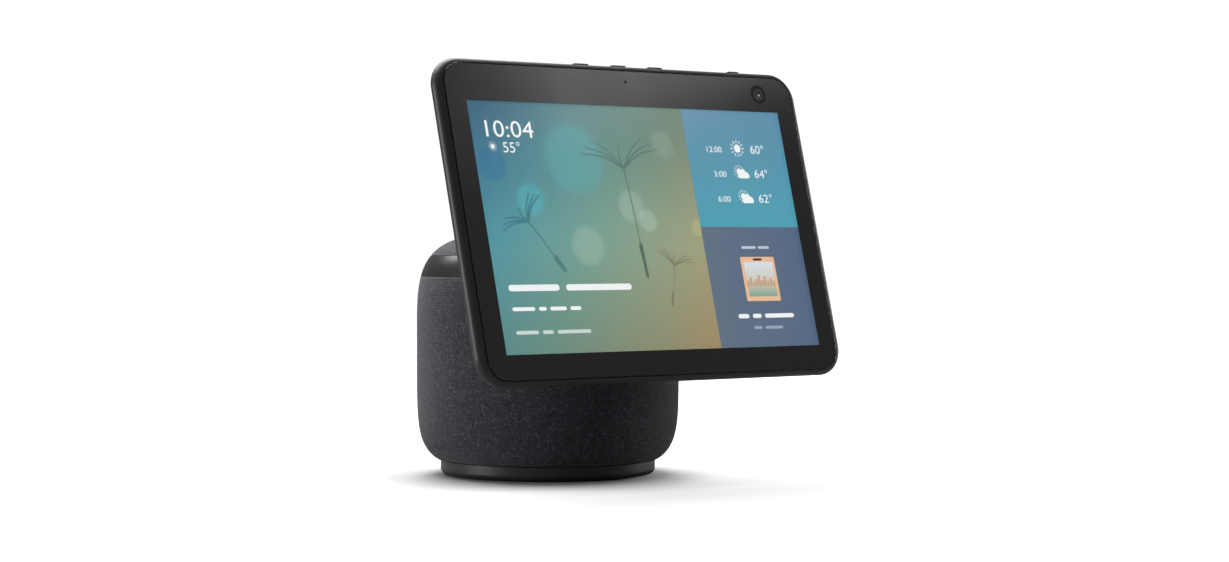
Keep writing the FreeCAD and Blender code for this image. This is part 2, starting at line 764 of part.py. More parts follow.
def arm_bracket():
    """Cast arm: a barrel for the pin, the leaning bar and a foot on top of the enclosure."""
    bar = arm_bar(ARM_HALF, ARM_T / 2, 1.0)
    barrel = bar_x(BARREL_R, -BARREL_HALF, BARREL_HALF, HINGE)
    back_y = ARM_ROOT.y - 4
    foot = box(-ARM_FOOT_HALF, ARM_FOOT_HALF, back_y, ARM_ROOT.y + 18, BOX_TOP_Z, BOX_TOP_Z + 3)
    riser = box(-ARM_HALF, ARM_HALF, back_y, ARM_ROOT.y + 1, BOX_TOP_Z, ARM_ROOT.z + 2)
    bore = bar_x(PIN_R, -BARREL_HALF - 1, BARREL_HALF + 1, HINGE)
    return bar.fuse([barrel, foot, riser]).cut(bore).removeSplitter()


def barrel_room():
    """Free space round the barrel, so that the turning display clears the arm's trim."""
    return bar_x(BARREL_R + 1.2, -FAR, FAR, HINGE)


def arm_covers():
    """Two plastic half shells round the arm, parted along its middle."""
    outer = arm_bar(cover_half_width(), cover_half_thick(), ARM_COVER_SHARE).cut(barrel_room())
    sides = [e for e in outer.Edges if abs(e.tangentAt(e.FirstParameter).y) > 0.7 and e.Length > 6]
    outer = outer.makeFillet(ARM_COVER_EDGE_R, sides)
    shell = outer.cut(arm_bar(cover_half_width() - ARM_COVER_T - 0.4, ARM_T / 2 + 1.0, 1.1))
    upper = arm_bar(FAR, FAR / 2, 1.1)
    upper.translate(across_arm(FAR / 2))
    lower = arm_bar(FAR, FAR / 2, 1.1)
    lower.translate(across_arm(-FAR / 2))
    return shell.common(upper), shell.common(lower)


def arm_cable():
    """Flat cable on top of the arm, from the hinge to the audio board."""
    ribbon = arm_bar(RIBBON_HALF, RIBBON_T / 2, 0.98)
    ribbon.translate(across_arm(ARM_T / 2 + 0.4))
    return ribbon.cut(barrel_room())


def hinge_pin():
    """The pin with a flat head at each end."""
    shapes = [bar_x(PIN_R, -EAR_OUTER - 0.5, EAR_OUTER + 0.5, HINGE)]
    for side in (-1, 1):
        shapes.append(bar_x(BARREL_R - 0.6, *pair(side, EAR_OUTER + 0.3, EAR_OUTER + 0.3 + HEAD_T), HINGE))
    return shapes[0].fuse(shapes[1:]).removeSplitter()


def build_arm():
    upper, lower = arm_covers()
    add("arm_bracket", arm_bracket())
    add("arm_cover_upper", upper)
    add("arm_cover_lower", lower)
    add("arm_cable", arm_cable())
    add("hinge_pin", hinge_pin())


# --- display shell and glass (display frame) ---


def shell_slab(inset, z0, z1):
    radius = SHELL_CORNER_R - inset if inset < RIM_R + 1 else SHELL_CORNER_R + inset / 10
    return slab(SHELL_W - 2 * inset, SHELL_BOTTOM + inset, SHELL_TOP - inset, radius, z0, z1)


def shell_wire(inset, depth):
    plate = shell_slab(inset, -depth, -depth + 1)
    low = min(plate.Faces, key=lambda f: f.CenterOfMass.z)
    return low.OuterWire


def back_bulge(shrink):
    """The gently domed back, made smaller by a wall."""
    edge_depth = RIM_BACK - 0.8
    wires = []
    for inset in DOME_STEPS:
        rise = 1 - (1 - inset / DOME_STEPS[-1]) ** DOME_POWER
        depth = edge_depth + (BACK_DEPTH - edge_depth) * rise
        wires.append(shell_wire(inset + 2 * shrink, depth - shrink))
    return Part.makeLoft(wires, True, False)


def outer_shell():
    rim = shell_slab(0, -RIM_BACK, -RIM_FRONT)
    flat = [e for e in rim.Edges if abs(e.tangentAt(e.FirstParameter).z) < 0.1]
    rim = rim.makeFillet(RIM_R, flat)
    return rim.fuse(back_bulge(0))


def key_slot(x, length):
    """A pill-shaped hole down through the top wall."""
    hole = pill(length + 2 * KEY_GAP, KEY_W + 2 * KEY_GAP, 0, KEY_SLOT_DEPTH, V(x, 0, 0))
    hole.rotate(V(0, 0, 0), X_AXIS, -90)
    hole.translate(V(0, SHELL_TOP - 8, -KEY_DEPTH))
    return hole


def hinge_window():
    """The hole in the back through which the hinge's ears reach."""
    half = COVER_X[1] - COVER_T
    return box(-half, half, HINGE_Y - 8.5, HINGE_Y + 11, -FAR, -RIM_BACK + 0.5)


def glass_slab(grow, z0, z1):
    width = GLASS_W + 2 * grow
    return slab(width, GLASS_BOTTOM - grow, GLASS_TOP + grow, GLASS_CORNER_R + grow, z0, z1)


def rear_housing():
    """The tub: half-round rim, domed back, open front for glass and panel."""
    cavity = glass_slab(GLASS_GAP, -RIM_BACK + WALL, 5)
    inner = back_bulge(WALL).common(shell_slab(RIM_R + 1.0, -FAR, 0))
    cuts = [cavity, inner, hinge_window()]
    cuts += [key_slot(x, KEY_LEN) for x in KEY_X.values()]
    cuts.append(key_slot(SLIDER_X + SLIDER_TRAVEL / 2, SLIDER_LEN + SLIDER_TRAVEL))
    return outer_shell().cut(cuts)


def front_glass():
    glass = glass_slab(0, -GLASS_T, 0)
    rim = [e for e in glass.Edges if abs(e.CenterOfMass.z) < 0.01]
    glass = glass.makeFillet(GLASS_EDGE_R, rim)
    return glass.cut(cylinder(MIC_R, -GLASS_T - 1, 1, MIC.x, MIC.y))


def glass_adhesive():
    """A frame of tape between glass and mid frame, round the panel."""
    back = -GLASS_T - TAPE_T
    outer = slab(TAPE_OUT_W, *TAPE_OUT_Y, 6.0, back, -GLASS_T)
    return outer.cut(slab(TAPE_IN_W, *TAPE_IN_Y, 3.0, back - 1, 0))


def mid_frame():
    low, high = MID_Z
    plate = slab(MID_W, *MID_Y, GLASS_CORNER_R, low, high)
    window = slab(MID_WINDOW_W, *MID_WINDOW_Y, 4.0, low - 1, high + 1)
    ribs = [box(x - 1, x + 1, MID_WINDOW_Y[0] - 1, MID_WINDOW_Y[1] + 1, low, high) for x in RIB_X]
    return plate.cut(window).fuse(ribs)


def cpu_shield():
    """A thin can over the processor, behind the main board."""
    low = -BOARD_BACK - SHIELD_H
    y0, y1 = SHIELD_Y
    lid = slab(SHIELD_W, y0, y1, 2.0, low, -BOARD_BACK - CLEAR)
    inside = slab(SHIELD_W - 3 * SHIELD_T, y0 + 0.6, y1 - 0.6, 1.6, low + SHIELD_T, -BOARD_BACK)
    return lid.cut(inside)


def camera_module():
    """A square body with a short round barrel, hollow at its front for the lens."""
    half = CAMERA_HALF
    base = CAMERA_FRONT - 2.3
    body = box(CAMERA.x - half, CAMERA.x + half, CAMERA.y - half, CAMERA.y + half, base - 1.8, base)
    barrel = cylinder(CAMERA_BARREL_R, base - CLEAR, CAMERA_FRONT, CAMERA.x, CAMERA.y)
    bore = cylinder(CAMERA_BORE_R, CAMERA_FRONT - CAMERA_BORE_L, CAMERA_FRONT + 1, CAMERA.x, CAMERA.y)
    return body.fuse(barrel).cut(bore)


def camera_lens():
    back = CAMERA_FRONT - CAMERA_BORE_L + RUN_GAP
    dome = Part.makeSphere(LENS_CURVE_R, V(CAMERA.x, CAMERA.y, CAMERA_FRONT - LENS_CURVE_R - 0.3))
    return dome.common(cylinder(CAMERA_BORE_R - RUN_GAP, back, CAMERA_FRONT - CLEAR, CAMERA.x, CAMERA.y))


# --- display side of the hinge (display frame) ---


def hinge_centre():
    return V(0, HINGE_Y, -HINGE_DEPTH)


def hinge_bracket():
    """Steel plate inside the display with two ears that reach back to the pin."""
    plate = slab(HINGE_PLATE_W, *HINGE_PLATE_Y, 4.0, *HINGE_PLATE_Z)
    ears = []
    for side in (-1, 1):
        x0, x1 = pair(side, EAR_INNER, EAR_OUTER)
        ears.append(bar_x(BARREL_R, x0, x1, hinge_centre()))
        root = HINGE_PLATE_Z[0] + CLEAR
        ears.append(box(x0, x1, HINGE_Y - BARREL_R, HINGE_Y + BARREL_R, -HINGE_DEPTH, root))
    bore = bar_x(PIN_R + RUN_GAP, -EAR_OUTER - 1, EAR_OUTER + 1, hinge_centre())
    return plate.fuse(ears).cut(bore).removeSplitter()


def friction_washers():
    washers = []
    for side in (-1, 1):
        x0, x1 = pair(side, BARREL_HALF + RUN_GAP, EAR_INNER)
        ring = bar_x(BARREL_R - 0.3, x0, x1, hinge_centre())
        washers.append(ring.cut(bar_x(PIN_R + RUN_GAP, x0 - 1, x1 + 1, hinge_centre())))
    return Part.makeCompound(washers)


def hinge_cover(side):
    """A rounded plastic cap over one ear and the pin's end, seated on the domed back."""
    x0, x1 = pair(side, *COVER_X)
    room_x0, room_x1 = pair(side, BARREL_HALF / 2, COVER_X[1] - COVER_T)
    half = COVER_R - COVER_T
    cap = bar_x(COVER_R, x0, x1, hinge_centre())
    skirt = box(x0, x1, HINGE_Y - COVER_R, HINGE_Y + COVER_R, -HINGE_DEPTH, -BACK_DEPTH + 1.0)
    outside = cap.fuse(skirt).removeSplitter()
    end_x = side * COVER_X[1]
    end = [e for e in outside.Edges if abs(e.CenterOfMass.x - end_x) < 0.01]
    behind = [e for e in end if e.CenterOfMass.z < -BACK_DEPTH]
    outside = outside.makeFillet(COVER_EDGE_R, behind)
    room = bar_x(half, room_x0, room_x1, hinge_centre())
    well = box(room_x0, room_x1, HINGE_Y - half, HINGE_Y + half, -HINGE_DEPTH, 0)
    seat = box(-FAR, FAR, HINGE_Y - 20, HINGE_Y + 20, -BACK_DEPTH, 0)
    return outside.cut([room, well, seat]).removeSplitter()


def build_display():
    add_on_display("rear_housing", rear_housing())
    add_on_display("front_glass", front_glass())
    add_on_display("glass_adhesive", glass_adhesive())
    panel_front = -GLASS_T - TAPE_T
    add_on_display("lcd_panel", slab(PANEL_W, *PANEL_Y, 1.0, panel_front - PANEL_T, panel_front))
    add_on_display("lcd_frame", slab(FRAME_W, *FRAME_Y, 2.0, *FRAME_Z))
    screws = Part.makeCompound([cylinder(HOUSING_SCREW_R, *HOUSING_SCREW_Z, x, y) for x, y in HOUSING_SCREWS])
    add_on_display("mid_frame", mid_frame().cut(screws))
    add_on_display("housing_screws", screws)
    add_on_display("main_board", slab(BOARD_W, *BOARD_Y, 2.0, -BOARD_BACK, MID_Z[0] - 2 * CLEAR))
    add_on_display("cpu_shield", cpu_shield())
    add_on_display("camera_module", camera_module())
    add_on_display("camera_lens", camera_lens())
    add_on_display("mic_board", slab(MIC_BOARD_W, *MIC_BOARD_Y, 1.0, -GLASS_T - 1.3, panel_front))
    add_on_display("button_board", box(*KEY_BOARD_X, *KEY_BOARD_Y, *KEY_BOARD_Z))
    add_on_display("hinge_bracket", hinge_bracket())
    add_on_display("friction_washers", friction_washers())
    add_on_display("hinge_covers", Part.makeCompound([hinge_cover(side) for side in (-1, 1)]))


# --- keys and camera shutter (display frame) ---


def key_cap(length, x):
    """A pill that stands proud of the top edge, rounded on top."""
    top_y = SHELL_TOP + KEY_PROUD
    cap = pill(length, KEY_W, TOP_WALL_Y - 0.6, top_y, V(x, 0, 0))
    cap.rotate(V(0, 0, 0), X_AXIS, -90)
    cap.translate(V(0, 0, -KEY_DEPTH))
    top = [e for e in cap.Edges if e.CenterOfMass.y > top_y - 0.01]
    return cap.makeFillet(KEY_EDGE_R, top)


def key(x):
    """A pill key with a retaining flange behind the wall and a nub over its switch."""
    low = TOP_WALL_Y - 1.3
    z0 = -KEY_DEPTH - KEY_FLANGE_Z
    z1 = -KEY_DEPTH + KEY_FLANGE_Z
    flange = box(x - KEY_FLANGE_X, x + KEY_FLANGE_X, low, TOP_WALL_Y - GLASS_GAP, z0, z1)
    nub = box(x - 1, x + 1, low - KEY_NUB_L, low, -KEY_DEPTH - 1, -KEY_DEPTH + 1)
    return key_cap(KEY_LEN, x).fuse([flange, nub]).removeSplitter()


def shutter_slider():
    """The sliding knob with its stem and the blade that covers the lens."""
    half = SLIDER_LEN / 2
    blade_z = (-GLASS_T - TAPE_T - BLADE_T, -GLASS_T - TAPE_T)
    flange_z0 = -KEY_DEPTH - KEY_FLANGE_Z
    low = TOP_WALL_Y - 1.3
    flange = box(SLIDER_X - half, SLIDER_X + half, low, TOP_WALL_Y - GLASS_GAP, flange_z0, blade_z[1])
    stem = box(SLIDER_X, SLIDER_X + half, CAMERA.y, TOP_WALL_Y - 0.8, *blade_z)
    blade_end = CAMERA.x - CAMERA_WINDOW_R - 2 * CLEAR
    blade = box(SLIDER_X - half, blade_end, CAMERA.y - BLADE_HALF_H, CAMERA.y + BLADE_HALF_H, *blade_z)
    return key_cap(SLIDER_LEN, SLIDER_X).fuse([flange, stem, blade]).removeSplitter()


def build_keys():
    for name, x in KEY_X.items():
        add_on_display(name, key(x))
    add_on_display("shutter_slider", shutter_slider())


def main():
    os.makedirs("parts", exist_ok=True)
    build_foot()
    build_turntable()
    build_skins()
    build_drivers()
    build_arm()
    build_display()
    build_keys()
    for name, shape in NODES.items():
        shape.exportStep(f"parts/{name}.step")
        print(name, len(shape.Solids), round(shape.Volume), shape.isValid())


main()
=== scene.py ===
import json
import math

import bmesh
import bpy
from mathutils import Matrix, Vector, noise


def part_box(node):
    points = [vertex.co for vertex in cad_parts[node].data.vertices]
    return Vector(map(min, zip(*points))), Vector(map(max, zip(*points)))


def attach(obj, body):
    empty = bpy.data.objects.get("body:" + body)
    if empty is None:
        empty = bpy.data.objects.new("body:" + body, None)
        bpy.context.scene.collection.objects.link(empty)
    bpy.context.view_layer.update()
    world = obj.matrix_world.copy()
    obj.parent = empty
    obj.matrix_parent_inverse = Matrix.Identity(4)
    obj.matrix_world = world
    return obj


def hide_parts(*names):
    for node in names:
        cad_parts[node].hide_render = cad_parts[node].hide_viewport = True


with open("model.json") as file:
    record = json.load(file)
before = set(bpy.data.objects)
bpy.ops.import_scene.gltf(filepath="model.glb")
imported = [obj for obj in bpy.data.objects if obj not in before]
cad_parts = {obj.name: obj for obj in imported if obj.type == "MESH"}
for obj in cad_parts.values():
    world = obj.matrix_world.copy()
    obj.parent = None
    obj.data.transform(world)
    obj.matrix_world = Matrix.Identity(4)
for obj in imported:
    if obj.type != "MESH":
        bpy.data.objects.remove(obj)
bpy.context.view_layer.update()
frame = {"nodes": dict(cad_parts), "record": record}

MM = 0.001

# --- camera and stage (metres, degrees) ---
CAMERA_AT = (-0.8981, -1.1779, 0.1300)
CAMERA_TURN = -38.78
CAMERA_DROP = 0.826
LENS_MM = 76.74
FLOOR_HALF = 12.0
# the floor's glow to the camera is painted light that lifts its shade; these set the pool round the foot
# where a shadow is left
SHADOW_POOL = (-0.022, -0.010, 0.0)  # middle of the soft shadow round the foot
SHADOW_EDGE = (0.056, 0.104)  # where the shadow fades, from its middle
FLOOR_FADE = (0.14, 0.45)  # where the floor goes on to white
FADE_SHARE = 0.5  # what each of the two fades adds
WORLD_LIGHT = 0.16  # the background's strength on the object
WORLD_SEEN = 1.05  # and as the camera sees it
LIGHTS = (  # name, place, target, size and watts
    ("overhead", (0.1, 0.95, 1.8), (0, 0, 0.1), (2.0, 2.0), 80.0),
    ("left", (-1.9, 0.78, 0.36), (0, 0, 0.1), (0.8, 0.6), 15.0),
    ("right", (1.75, -0.35, 0.4), (0, 0, 0.08), (0.5, 0.6), 5.0),
    ("glass_sheen", (1.06, -0.98, 1.03), (0, -0.08, 0.2), (0.46, 0.3), 0.66),
)

# --- display frame ---
TILT_BACK = math.radians(15.0)
UP = Vector((0, math.sin(TILT_BACK), math.cos(TILT_BACK)))
OUT = Vector((0, -math.cos(TILT_BACK), math.sin(TILT_BACK)))
PANEL_MIDDLE_Y = -1.0  # the panel's middle, below the picture's middle
PANEL_MIDDLE_DEPTH = 2.6
PICTURE_W = 217.0
PICTURE_H = 135.6
BLEED = 1.8  # how far the picture runs on behind the border's print
SLANT = 0.38  # how much of the wallpaper's blend runs down rather than across
COLUMN_X = 37.6  # left edge of the right-hand column
COLUMN_SPLIT_Y = 0.8
PICTURE_LIFT = -1.56  # just in front of the panel, behind the glass
HAIR_LIFT = PICTURE_LIFT + 0.03
HAIR_COUNT = 7
HAIR_SPREAD = 70.0  # degrees each side of the fan's middle
SEED_SHARE = 0.45  # a seed's length against its stem's
INK_LIFT = 0.01  # the border's print, on the glass
SKIN_LIFT = 0.02  # the small round ports, on the print
MIC_PORT = (0.4, 81.8)
MIC_PORT_R = 0.85
EYE_WINDOW_R = 5.6
EYE_RING_R = 3.3
EYE_LENS_R = 2.5
EYE_GLINT_R = 0.6
PRINT_INSET = 0.5  # the print stops this far inside the glass's sides
PRINT_LOW = -80.9
PRINT_HIGH = 87.9
PRINT_CORNER = 11.3
DISC_OVERHANG = 4.0  # how far a soft disc may run under the column
COLUMN_LIFT = PICTURE_LIFT + 0.03
MARK_LIFT = PICTURE_LIFT + 0.06
TAPER = 0.35  # share of its width that a drawn line loses by its end

# --- speaker body outline, as in the CAD ---
WAIST_Z = 75.0
CROWN_H = 61.2
CROWN_POWER = 4.1
BELLY_H = 71.3
BELLY_POWER = 6.0

# --- knitted skins ---
STITCH_W = 0.0009
STITCH_H = 0.0011
SLEEVE_COLUMNS = 360
SLEEVE_ROWS = 96
CAP_COLUMNS = 240
CAP_ROWS = 56
SKIN_GAP = 0.4  # room left round the arm
BAND_GAP = 0.25  # room left under the shoulder band
NOTCH_RAMP = 1.6  # width over which the notch's edge rises

BLACK = (0.0, 0.0, 0.0, 1.0)
WHITE = (1.0, 1.0, 1.0, 1.0)


# --- small helpers ---


def linear(red, green, blue):
    """A screen colour given as 0 to 255, as the linear colour that shaders take."""
    values = []
    for value in (red, green, blue):
        share = value / 255
        values.append(share / 12.92 if share < 0.04045 else ((share + 0.055) / 1.055) ** 2.4)
    return (*values, 1.0)


def middle(node):
    low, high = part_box(node)
    return (Vector(low) + Vector(high)) / 2


def display_matrix():
    """From the display's own frame (x right, y up the screen, z to the viewer) to the row frame."""
    origin = middle("lcd_panel") - UP * PANEL_MIDDLE_Y * MM + OUT * PANEL_MIDDLE_DEPTH * MM
    turn = Matrix((Vector((1, 0, 0)), UP, OUT)).transposed()
    return Matrix.Translation(origin) @ turn.to_4x4()


DISPLAY = display_matrix()


def make_piece(name, verts, faces, material, body, matrix=None):
    mesh = bpy.data.meshes.new(name)
    mesh.from_pydata([tuple(v) for v in verts], [], faces)
    mesh.materials.append(material)
    mesh.update()
    piece = bpy.data.objects.new(name, mesh)
    bpy.context.scene.collection.objects.link(piece)
    if matrix is not None:
        mesh.transform(matrix)
    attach(piece, body)
    return piece


def smooth(piece):
    for polygon in piece.data.polygons:
        polygon.use_smooth = True


# --- shader building ---


class Shader:
    """A node material built from short calls."""

    def __init__(self, name):
        self.material = bpy.data.materials.new(name)
        self.material.use_nodes = True
        self.tree = self.material.node_tree
        self.bsdf = self.tree.nodes["Principled BSDF"]

    def node(self, kind, **settings):
        made = self.tree.nodes.new("ShaderNode" + kind)
        for key, value in settings.items():
            setattr(made, key, value)
        return made

    def link(self, source, target):
        self.tree.links.new(source, target)

    def put(self, socket, value):
        if isinstance(value, bpy.types.NodeSocket):
            self.link(value, socket)
        elif value is not None:
            socket.default_value = value

    def math(self, operation, a, b=None, c=None):
        made = self.node("Math", operation=operation)
        for socket, value in zip(made.inputs, (a, b, c)):
            self.put(socket, value)
        return made.outputs[0]

    def coordinates(self, kind="Object"):
        return self.node("TexCoord").outputs[kind]

    def split(self, vector):
        made = self.node("SeparateXYZ")
        self.link(vector, made.inputs[0])
        return made.outputs

    def join(self, x, y, z=0.0):
        made = self.node("CombineXYZ")
        for socket, value in zip(made.inputs, (x, y, z)):
            self.put(socket, value)
        return made.outputs[0]

    def noise(self, vector, scale, detail=3.0, roughness=0.5):
        made = self.node("TexNoise")
        self.link(vector, made.inputs["Vector"])
        made.inputs["Scale"].default_value = scale
        made.inputs["Detail"].default_value = detail
        made.inputs["Roughness"].default_value = roughness
        return made.outputs["Fac"]

    def ramp(self, value, stops, ease=False):
        made = self.node("ValToRGB")
        made.color_ramp.interpolation = "EASE" if ease else "LINEAR"
        while len(made.color_ramp.elements) < len(stops):
            made.color_ramp.elements.new(0.5)
        for element, (place, colour) in zip(made.color_ramp.elements, stops):
            element.position = place
            element.color = colour
        self.link(value, made.inputs[0])
        return made.outputs["Color"]

    def mix(self, share, a, b):
        made = self.node("Mix", data_type="RGBA")
        self.put(made.inputs[0], share)
        self.put(made.inputs[6], a)
        self.put(made.inputs[7], b)
        return made.outputs[2]

    def range(self, value, low, high, to_low, to_high):
        made = self.node("MapRange")
        self.link(value, made.inputs[0])
        for socket, number in zip(made.inputs[1:5], (low, high, to_low, to_high)):
            socket.default_value = number
        return made.outputs[0]

    def bump(self, height, distance, strength=1.0, normal=None):
        made = self.node("Bump")
        made.inputs["Strength"].default_value = strength
        made.inputs["Distance"].default_value = distance
        self.link(height, made.inputs["Height"])
        if normal is not None:
            self.link(normal, made.inputs["Normal"])
        return made.outputs[0]

    def set(self, **values):
        for key, value in values.items():
            self.put(self.bsdf.inputs[key.replace("_", " ")], value)
        return self


def moulded_plastic(name, dark, light, roughness, grain=2600.0, depth=0.00003):
    """Moulded plastic with a fine spark-eroded grain and faint tonal drift."""
    s = Shader(name)
    place = s.coordinates()
    drift = s.noise(place, 26.0, 4.0)
    fine = s.noise(place, grain, 2.0, 0.6)
    s.set(Base_Color=s.ramp(drift, [(0.3, dark), (0.7, light)]))
    s.set(Roughness=s.range(fine, 0.3, 0.7, roughness - 0.05, roughness + 0.06))
    s.set(Normal=s.bump(fine, depth))
    return s.material


def brushed_metal(name, dark, light, roughness, scale=900.0):
    s = Shader(name)
    x, y, z = s.split(s.coordinates())
    streaks = s.noise(s.join(s.math("MULTIPLY", x, 0.06), y, z), scale, 3.0)
    s.set(Base_Color=s.ramp(streaks, [(0.3, dark), (0.7, light)]))
    s.set(Metallic=1.0, Roughness=s.range(streaks, 0.3, 0.7, roughness - 0.06, roughness + 0.08))
    s.set(Normal=s.bump(streaks, 0.00002))
    return s.material


def rubber(name):
    s = Shader(name)
    fine = s.noise(s.coordinates(), 1800.0, 3.0, 0.7)
    s.set(Base_Color=s.ramp(fine, [(0.3, linear(22, 22, 23)), (0.7, linear(34, 34, 35))]))
    s.set(Roughness=s.range(fine, 0.3, 0.7, 0.72, 0.9))
    s.set(Normal=s.bump(fine, 0.00006))
    return s.material


def circuit_board():
    s = Shader("circuit_board")
    place = s.coordinates()
    made = s.node("TexVoronoi", feature="DISTANCE_TO_EDGE", distance="MANHATTAN")
    s.link(place, made.inputs["Vector"])
    made.inputs["Scale"].default_value = 420.0
    tracks = s.range(made.outputs["Distance"], 0.02, 0.06, 0.0, 1.0)
    s.set(Base_Color=s.ramp(tracks, [(0.0, linear(40, 110, 70)), (1.0, linear(12, 66, 38))]))
    s.set(Roughness=0.38, Normal=s.bump(tracks, 0.00004))
    return s.material


def knit(name, stitch_w, stitch_h, brightness):
    """Heathered knit: rows of short slanting yarn floats, each with its own tone.

    The UV map holds metres along and across the cloth, so the stitches keep their real size.
    """
    s = Shader(name)
    cloth_place = s.coordinates("UV")
    u, v, _ = s.split(cloth_place)
    row_at = s.math("DIVIDE", v, stitch_h)
    row = s.math("FLOOR", row_at)
    in_row = s.math("FRACT", row_at)
    lean = s.math("MULTIPLY", row_at, 0.5)
    along = s.math("ADD", s.math("DIVIDE", u, stitch_w), lean)
    column = s.math("FLOOR", along)
    in_column = s.math("FRACT", along)
    round_a = s.math("SINE", s.math("MULTIPLY", in_row, math.pi))
    round_b = s.math("SINE", s.math("MULTIPLY", in_column, math.pi))
    height = s.math("POWER", s.math("MULTIPLY", round_a, round_b), 0.6)
    pick = s.node("TexWhiteNoise", noise_dimensions="2D")
    s.link(s.join(column, row), pick.inputs["Vector"])
    dark = linear(*[c * brightness for c in (40, 41, 46)])
    mid = linear(*[c * brightness for c in (58, 60, 67)])
    pale = linear(*[c * brightness for c in (84, 87, 97)])
    tone = s.ramp(pick.outputs["Value"], [(0.0, dark), (0.3, mid), (0.75, mid), (1.0, pale)])
    cloth = s.mix(s.range(height, 0.05, 0.6, 0.0, 1.0), linear(14, 14, 16), tone)
    streaks = s.noise(s.join(s.math("MULTIPLY", u, 900.0), s.math("MULTIPLY", v, 130.0)), 1.0, 2.0)
    mottle = s.noise(cloth_place, 240.0, 4.0, 0.7)
    shade = s.math("MULTIPLY", s.range(streaks, 0.3, 0.7, 0.8, 1.2), s.range(mottle, 0.3, 0.7, 0.8, 1.2))
    made = s.node("Mix", data_type="RGBA", blend_type="MULTIPLY")
    made.inputs[0].default_value = 1.0
    s.link(cloth, made.inputs[6])
    s.link(s.join(shade, shade, shade), made.inputs[7])
    fuzz = s.noise(cloth_place, 9000.0, 2.0, 0.7)
    s.set(Base_Color=made.outputs[2], Roughness=s.range(fuzz, 0.3, 0.7, 0.78, 0.95))
    s.set(Sheen_Weight=0.2, Sheen_Roughness=0.45)
    s.set(Normal=s.bump(height, 0.00025, 0.8, s.bump(fuzz, 0.00006)))
    return s.material


def cover_glass():
    """Clear cover glass with a soft anti-glare coat."""
    s = Shader("cover_glass")
    haze = s.noise(s.coordinates(), 14.0, 4.0)
    s.set(Base_Color=WHITE, Transmission_Weight=1.0, Roughness=0.0, IOR=1.01)
    s.set(Coat_Weight=1.0, Coat_IOR=1.5, Coat_Roughness=s.range(haze, 0.35, 0.65, 0.13, 0.17))
    return s.material


def black_ink():
    """The glossy black border printed round the picture, with a soft coat of its own."""
    s = Shader("black_ink")
    cloudiness = s.noise(s.coordinates(), 40.0, 2.0)
    s.set(Base_Color=s.ramp(cloudiness, [(0.3, linear(17, 17, 17)), (0.7, linear(20, 20, 20))]))
    s.set(Roughness=0.7, Specular_IOR_Level=0.0)
    haze = s.noise(s.coordinates(), 14.0, 4.0)
    s.set(Coat_Weight=1.0, Coat_IOR=1.8, Coat_Roughness=s.range(haze, 0.35, 0.65, 0.14, 0.18))
    return s.material


def glow(name, colour):
    """An evenly lit patch of the picture, with the panel's faint pixel grid; it also makes the painted
    highlight of the camera's glint.
    """
    s = Shader(name)
    grid = s.noise(s.coordinates(), 1500.0, 1.0)
    lit = s.range(grid, 0.2, 0.8, 0.94, 1.06)
    s.set(Base_Color=BLACK, Roughness=0.5, Emission_Color=colour)
    s.set(Emission_Strength=lit)
    return s.material


# --- stage, light and camera ---


def make_camera():
    camera = bpy.data.objects.new("camera", bpy.data.cameras.new("camera"))
    camera.data.sensor_width = 36.0
    camera.data.lens = LENS_MM
    camera.data.clip_end = 100.0
    camera.location = CAMERA_AT
    camera.rotation_euler = (math.radians(90 - CAMERA_DROP), 0, math.radians(CAMERA_TURN))
    bpy.context.scene.collection.objects.link(camera)
    bpy.context.scene.camera = camera


def area_light(name, place, target, size, power):
    data = bpy.data.lights.new(name, "AREA")
    data.shape = "RECTANGLE"
    data.size, data.size_y = size
    data.energy = power
    light = bpy.data.objects.new(name, data)
    light.location = place
    light.rotation_euler = (Vector(target) - Vector(place)).to_track_quat("-Z", "Y").to_euler()
    bpy.context.scene.collection.objects.link(light)


def make_world():
    """White to the camera and a dimmer grey to everything that it lights."""
    world = bpy.data.worlds.new("studio")
    world.use_nodes = True
    tree = world.node_tree
    path = tree.nodes.new("ShaderNodeLightPath")
    level = tree.nodes.new("ShaderNodeMapRange")
    level.inputs[3].default_value = WORLD_LIGHT
    level.inputs[4].default_value = WORLD_SEEN
    tree.links.new(path.outputs["Is Camera Ray"], level.inputs[0])
    tree.links.new(level.outputs[0], tree.nodes["Background"].inputs["Strength"])
    tree.nodes["Background"].inputs["Color"].default_value = WHITE
    bpy.context.scene.world = world


def make_floor():
    s = Shader("floor")
    speck = s.noise(s.coordinates(), 3.0, 2.0)
    seen = s.node("LightPath").outputs["Is Camera Ray"]
    pale = s.ramp(speck, [(0.3, (0.50, 0.50, 0.50, 1)), (0.7, (0.52, 0.52, 0.52, 1))])
    s.set(Base_Color=s.mix(seen, (0.24, 0.24, 0.24, 1.0), pale))
    s.set(Roughness=0.6, Specular_IOR_Level=0.2)
    from_pool = s.node("VectorMath", operation="SUBTRACT")
    s.link(s.coordinates(), from_pool.inputs[0])
    from_pool.inputs[1].default_value = SHADOW_POOL
    length = s.node("VectorMath", operation="LENGTH")
    s.link(from_pool.outputs[0], length.inputs[0])
    # painted light: to the camera the floor glows, lifting its shade to white away from the shadow pool
    # round the foot
    near = s.range(length.outputs["Value"], *SHADOW_EDGE, 0.0, FADE_SHARE)
    far = s.range(length.outputs["Value"], *FLOOR_FADE, 0.0, FADE_SHARE)
    s.set(Emission_Color=WHITE)
    s.set(Emission_Strength=s.math("MULTIPLY", s.math("ADD", near, far), seen))
    mesh = bpy.data.meshes.new("floor")
    h = FLOOR_HALF
    mesh.from_pydata([(-h, -h, 0), (h, -h, 0), (h, h, 0), (-h, h, 0)], [], [(0, 1, 2, 3)])
    mesh.materials.append(s.material)
    floor = bpy.data.objects.new("floor", mesh)
    bpy.context.scene.collection.objects.link(floor)


def make_stage():
    make_camera()
    make_world()
    make_floor()
    for light in LIGHTS:
        area_light(*light)


# --- knitted skins ---


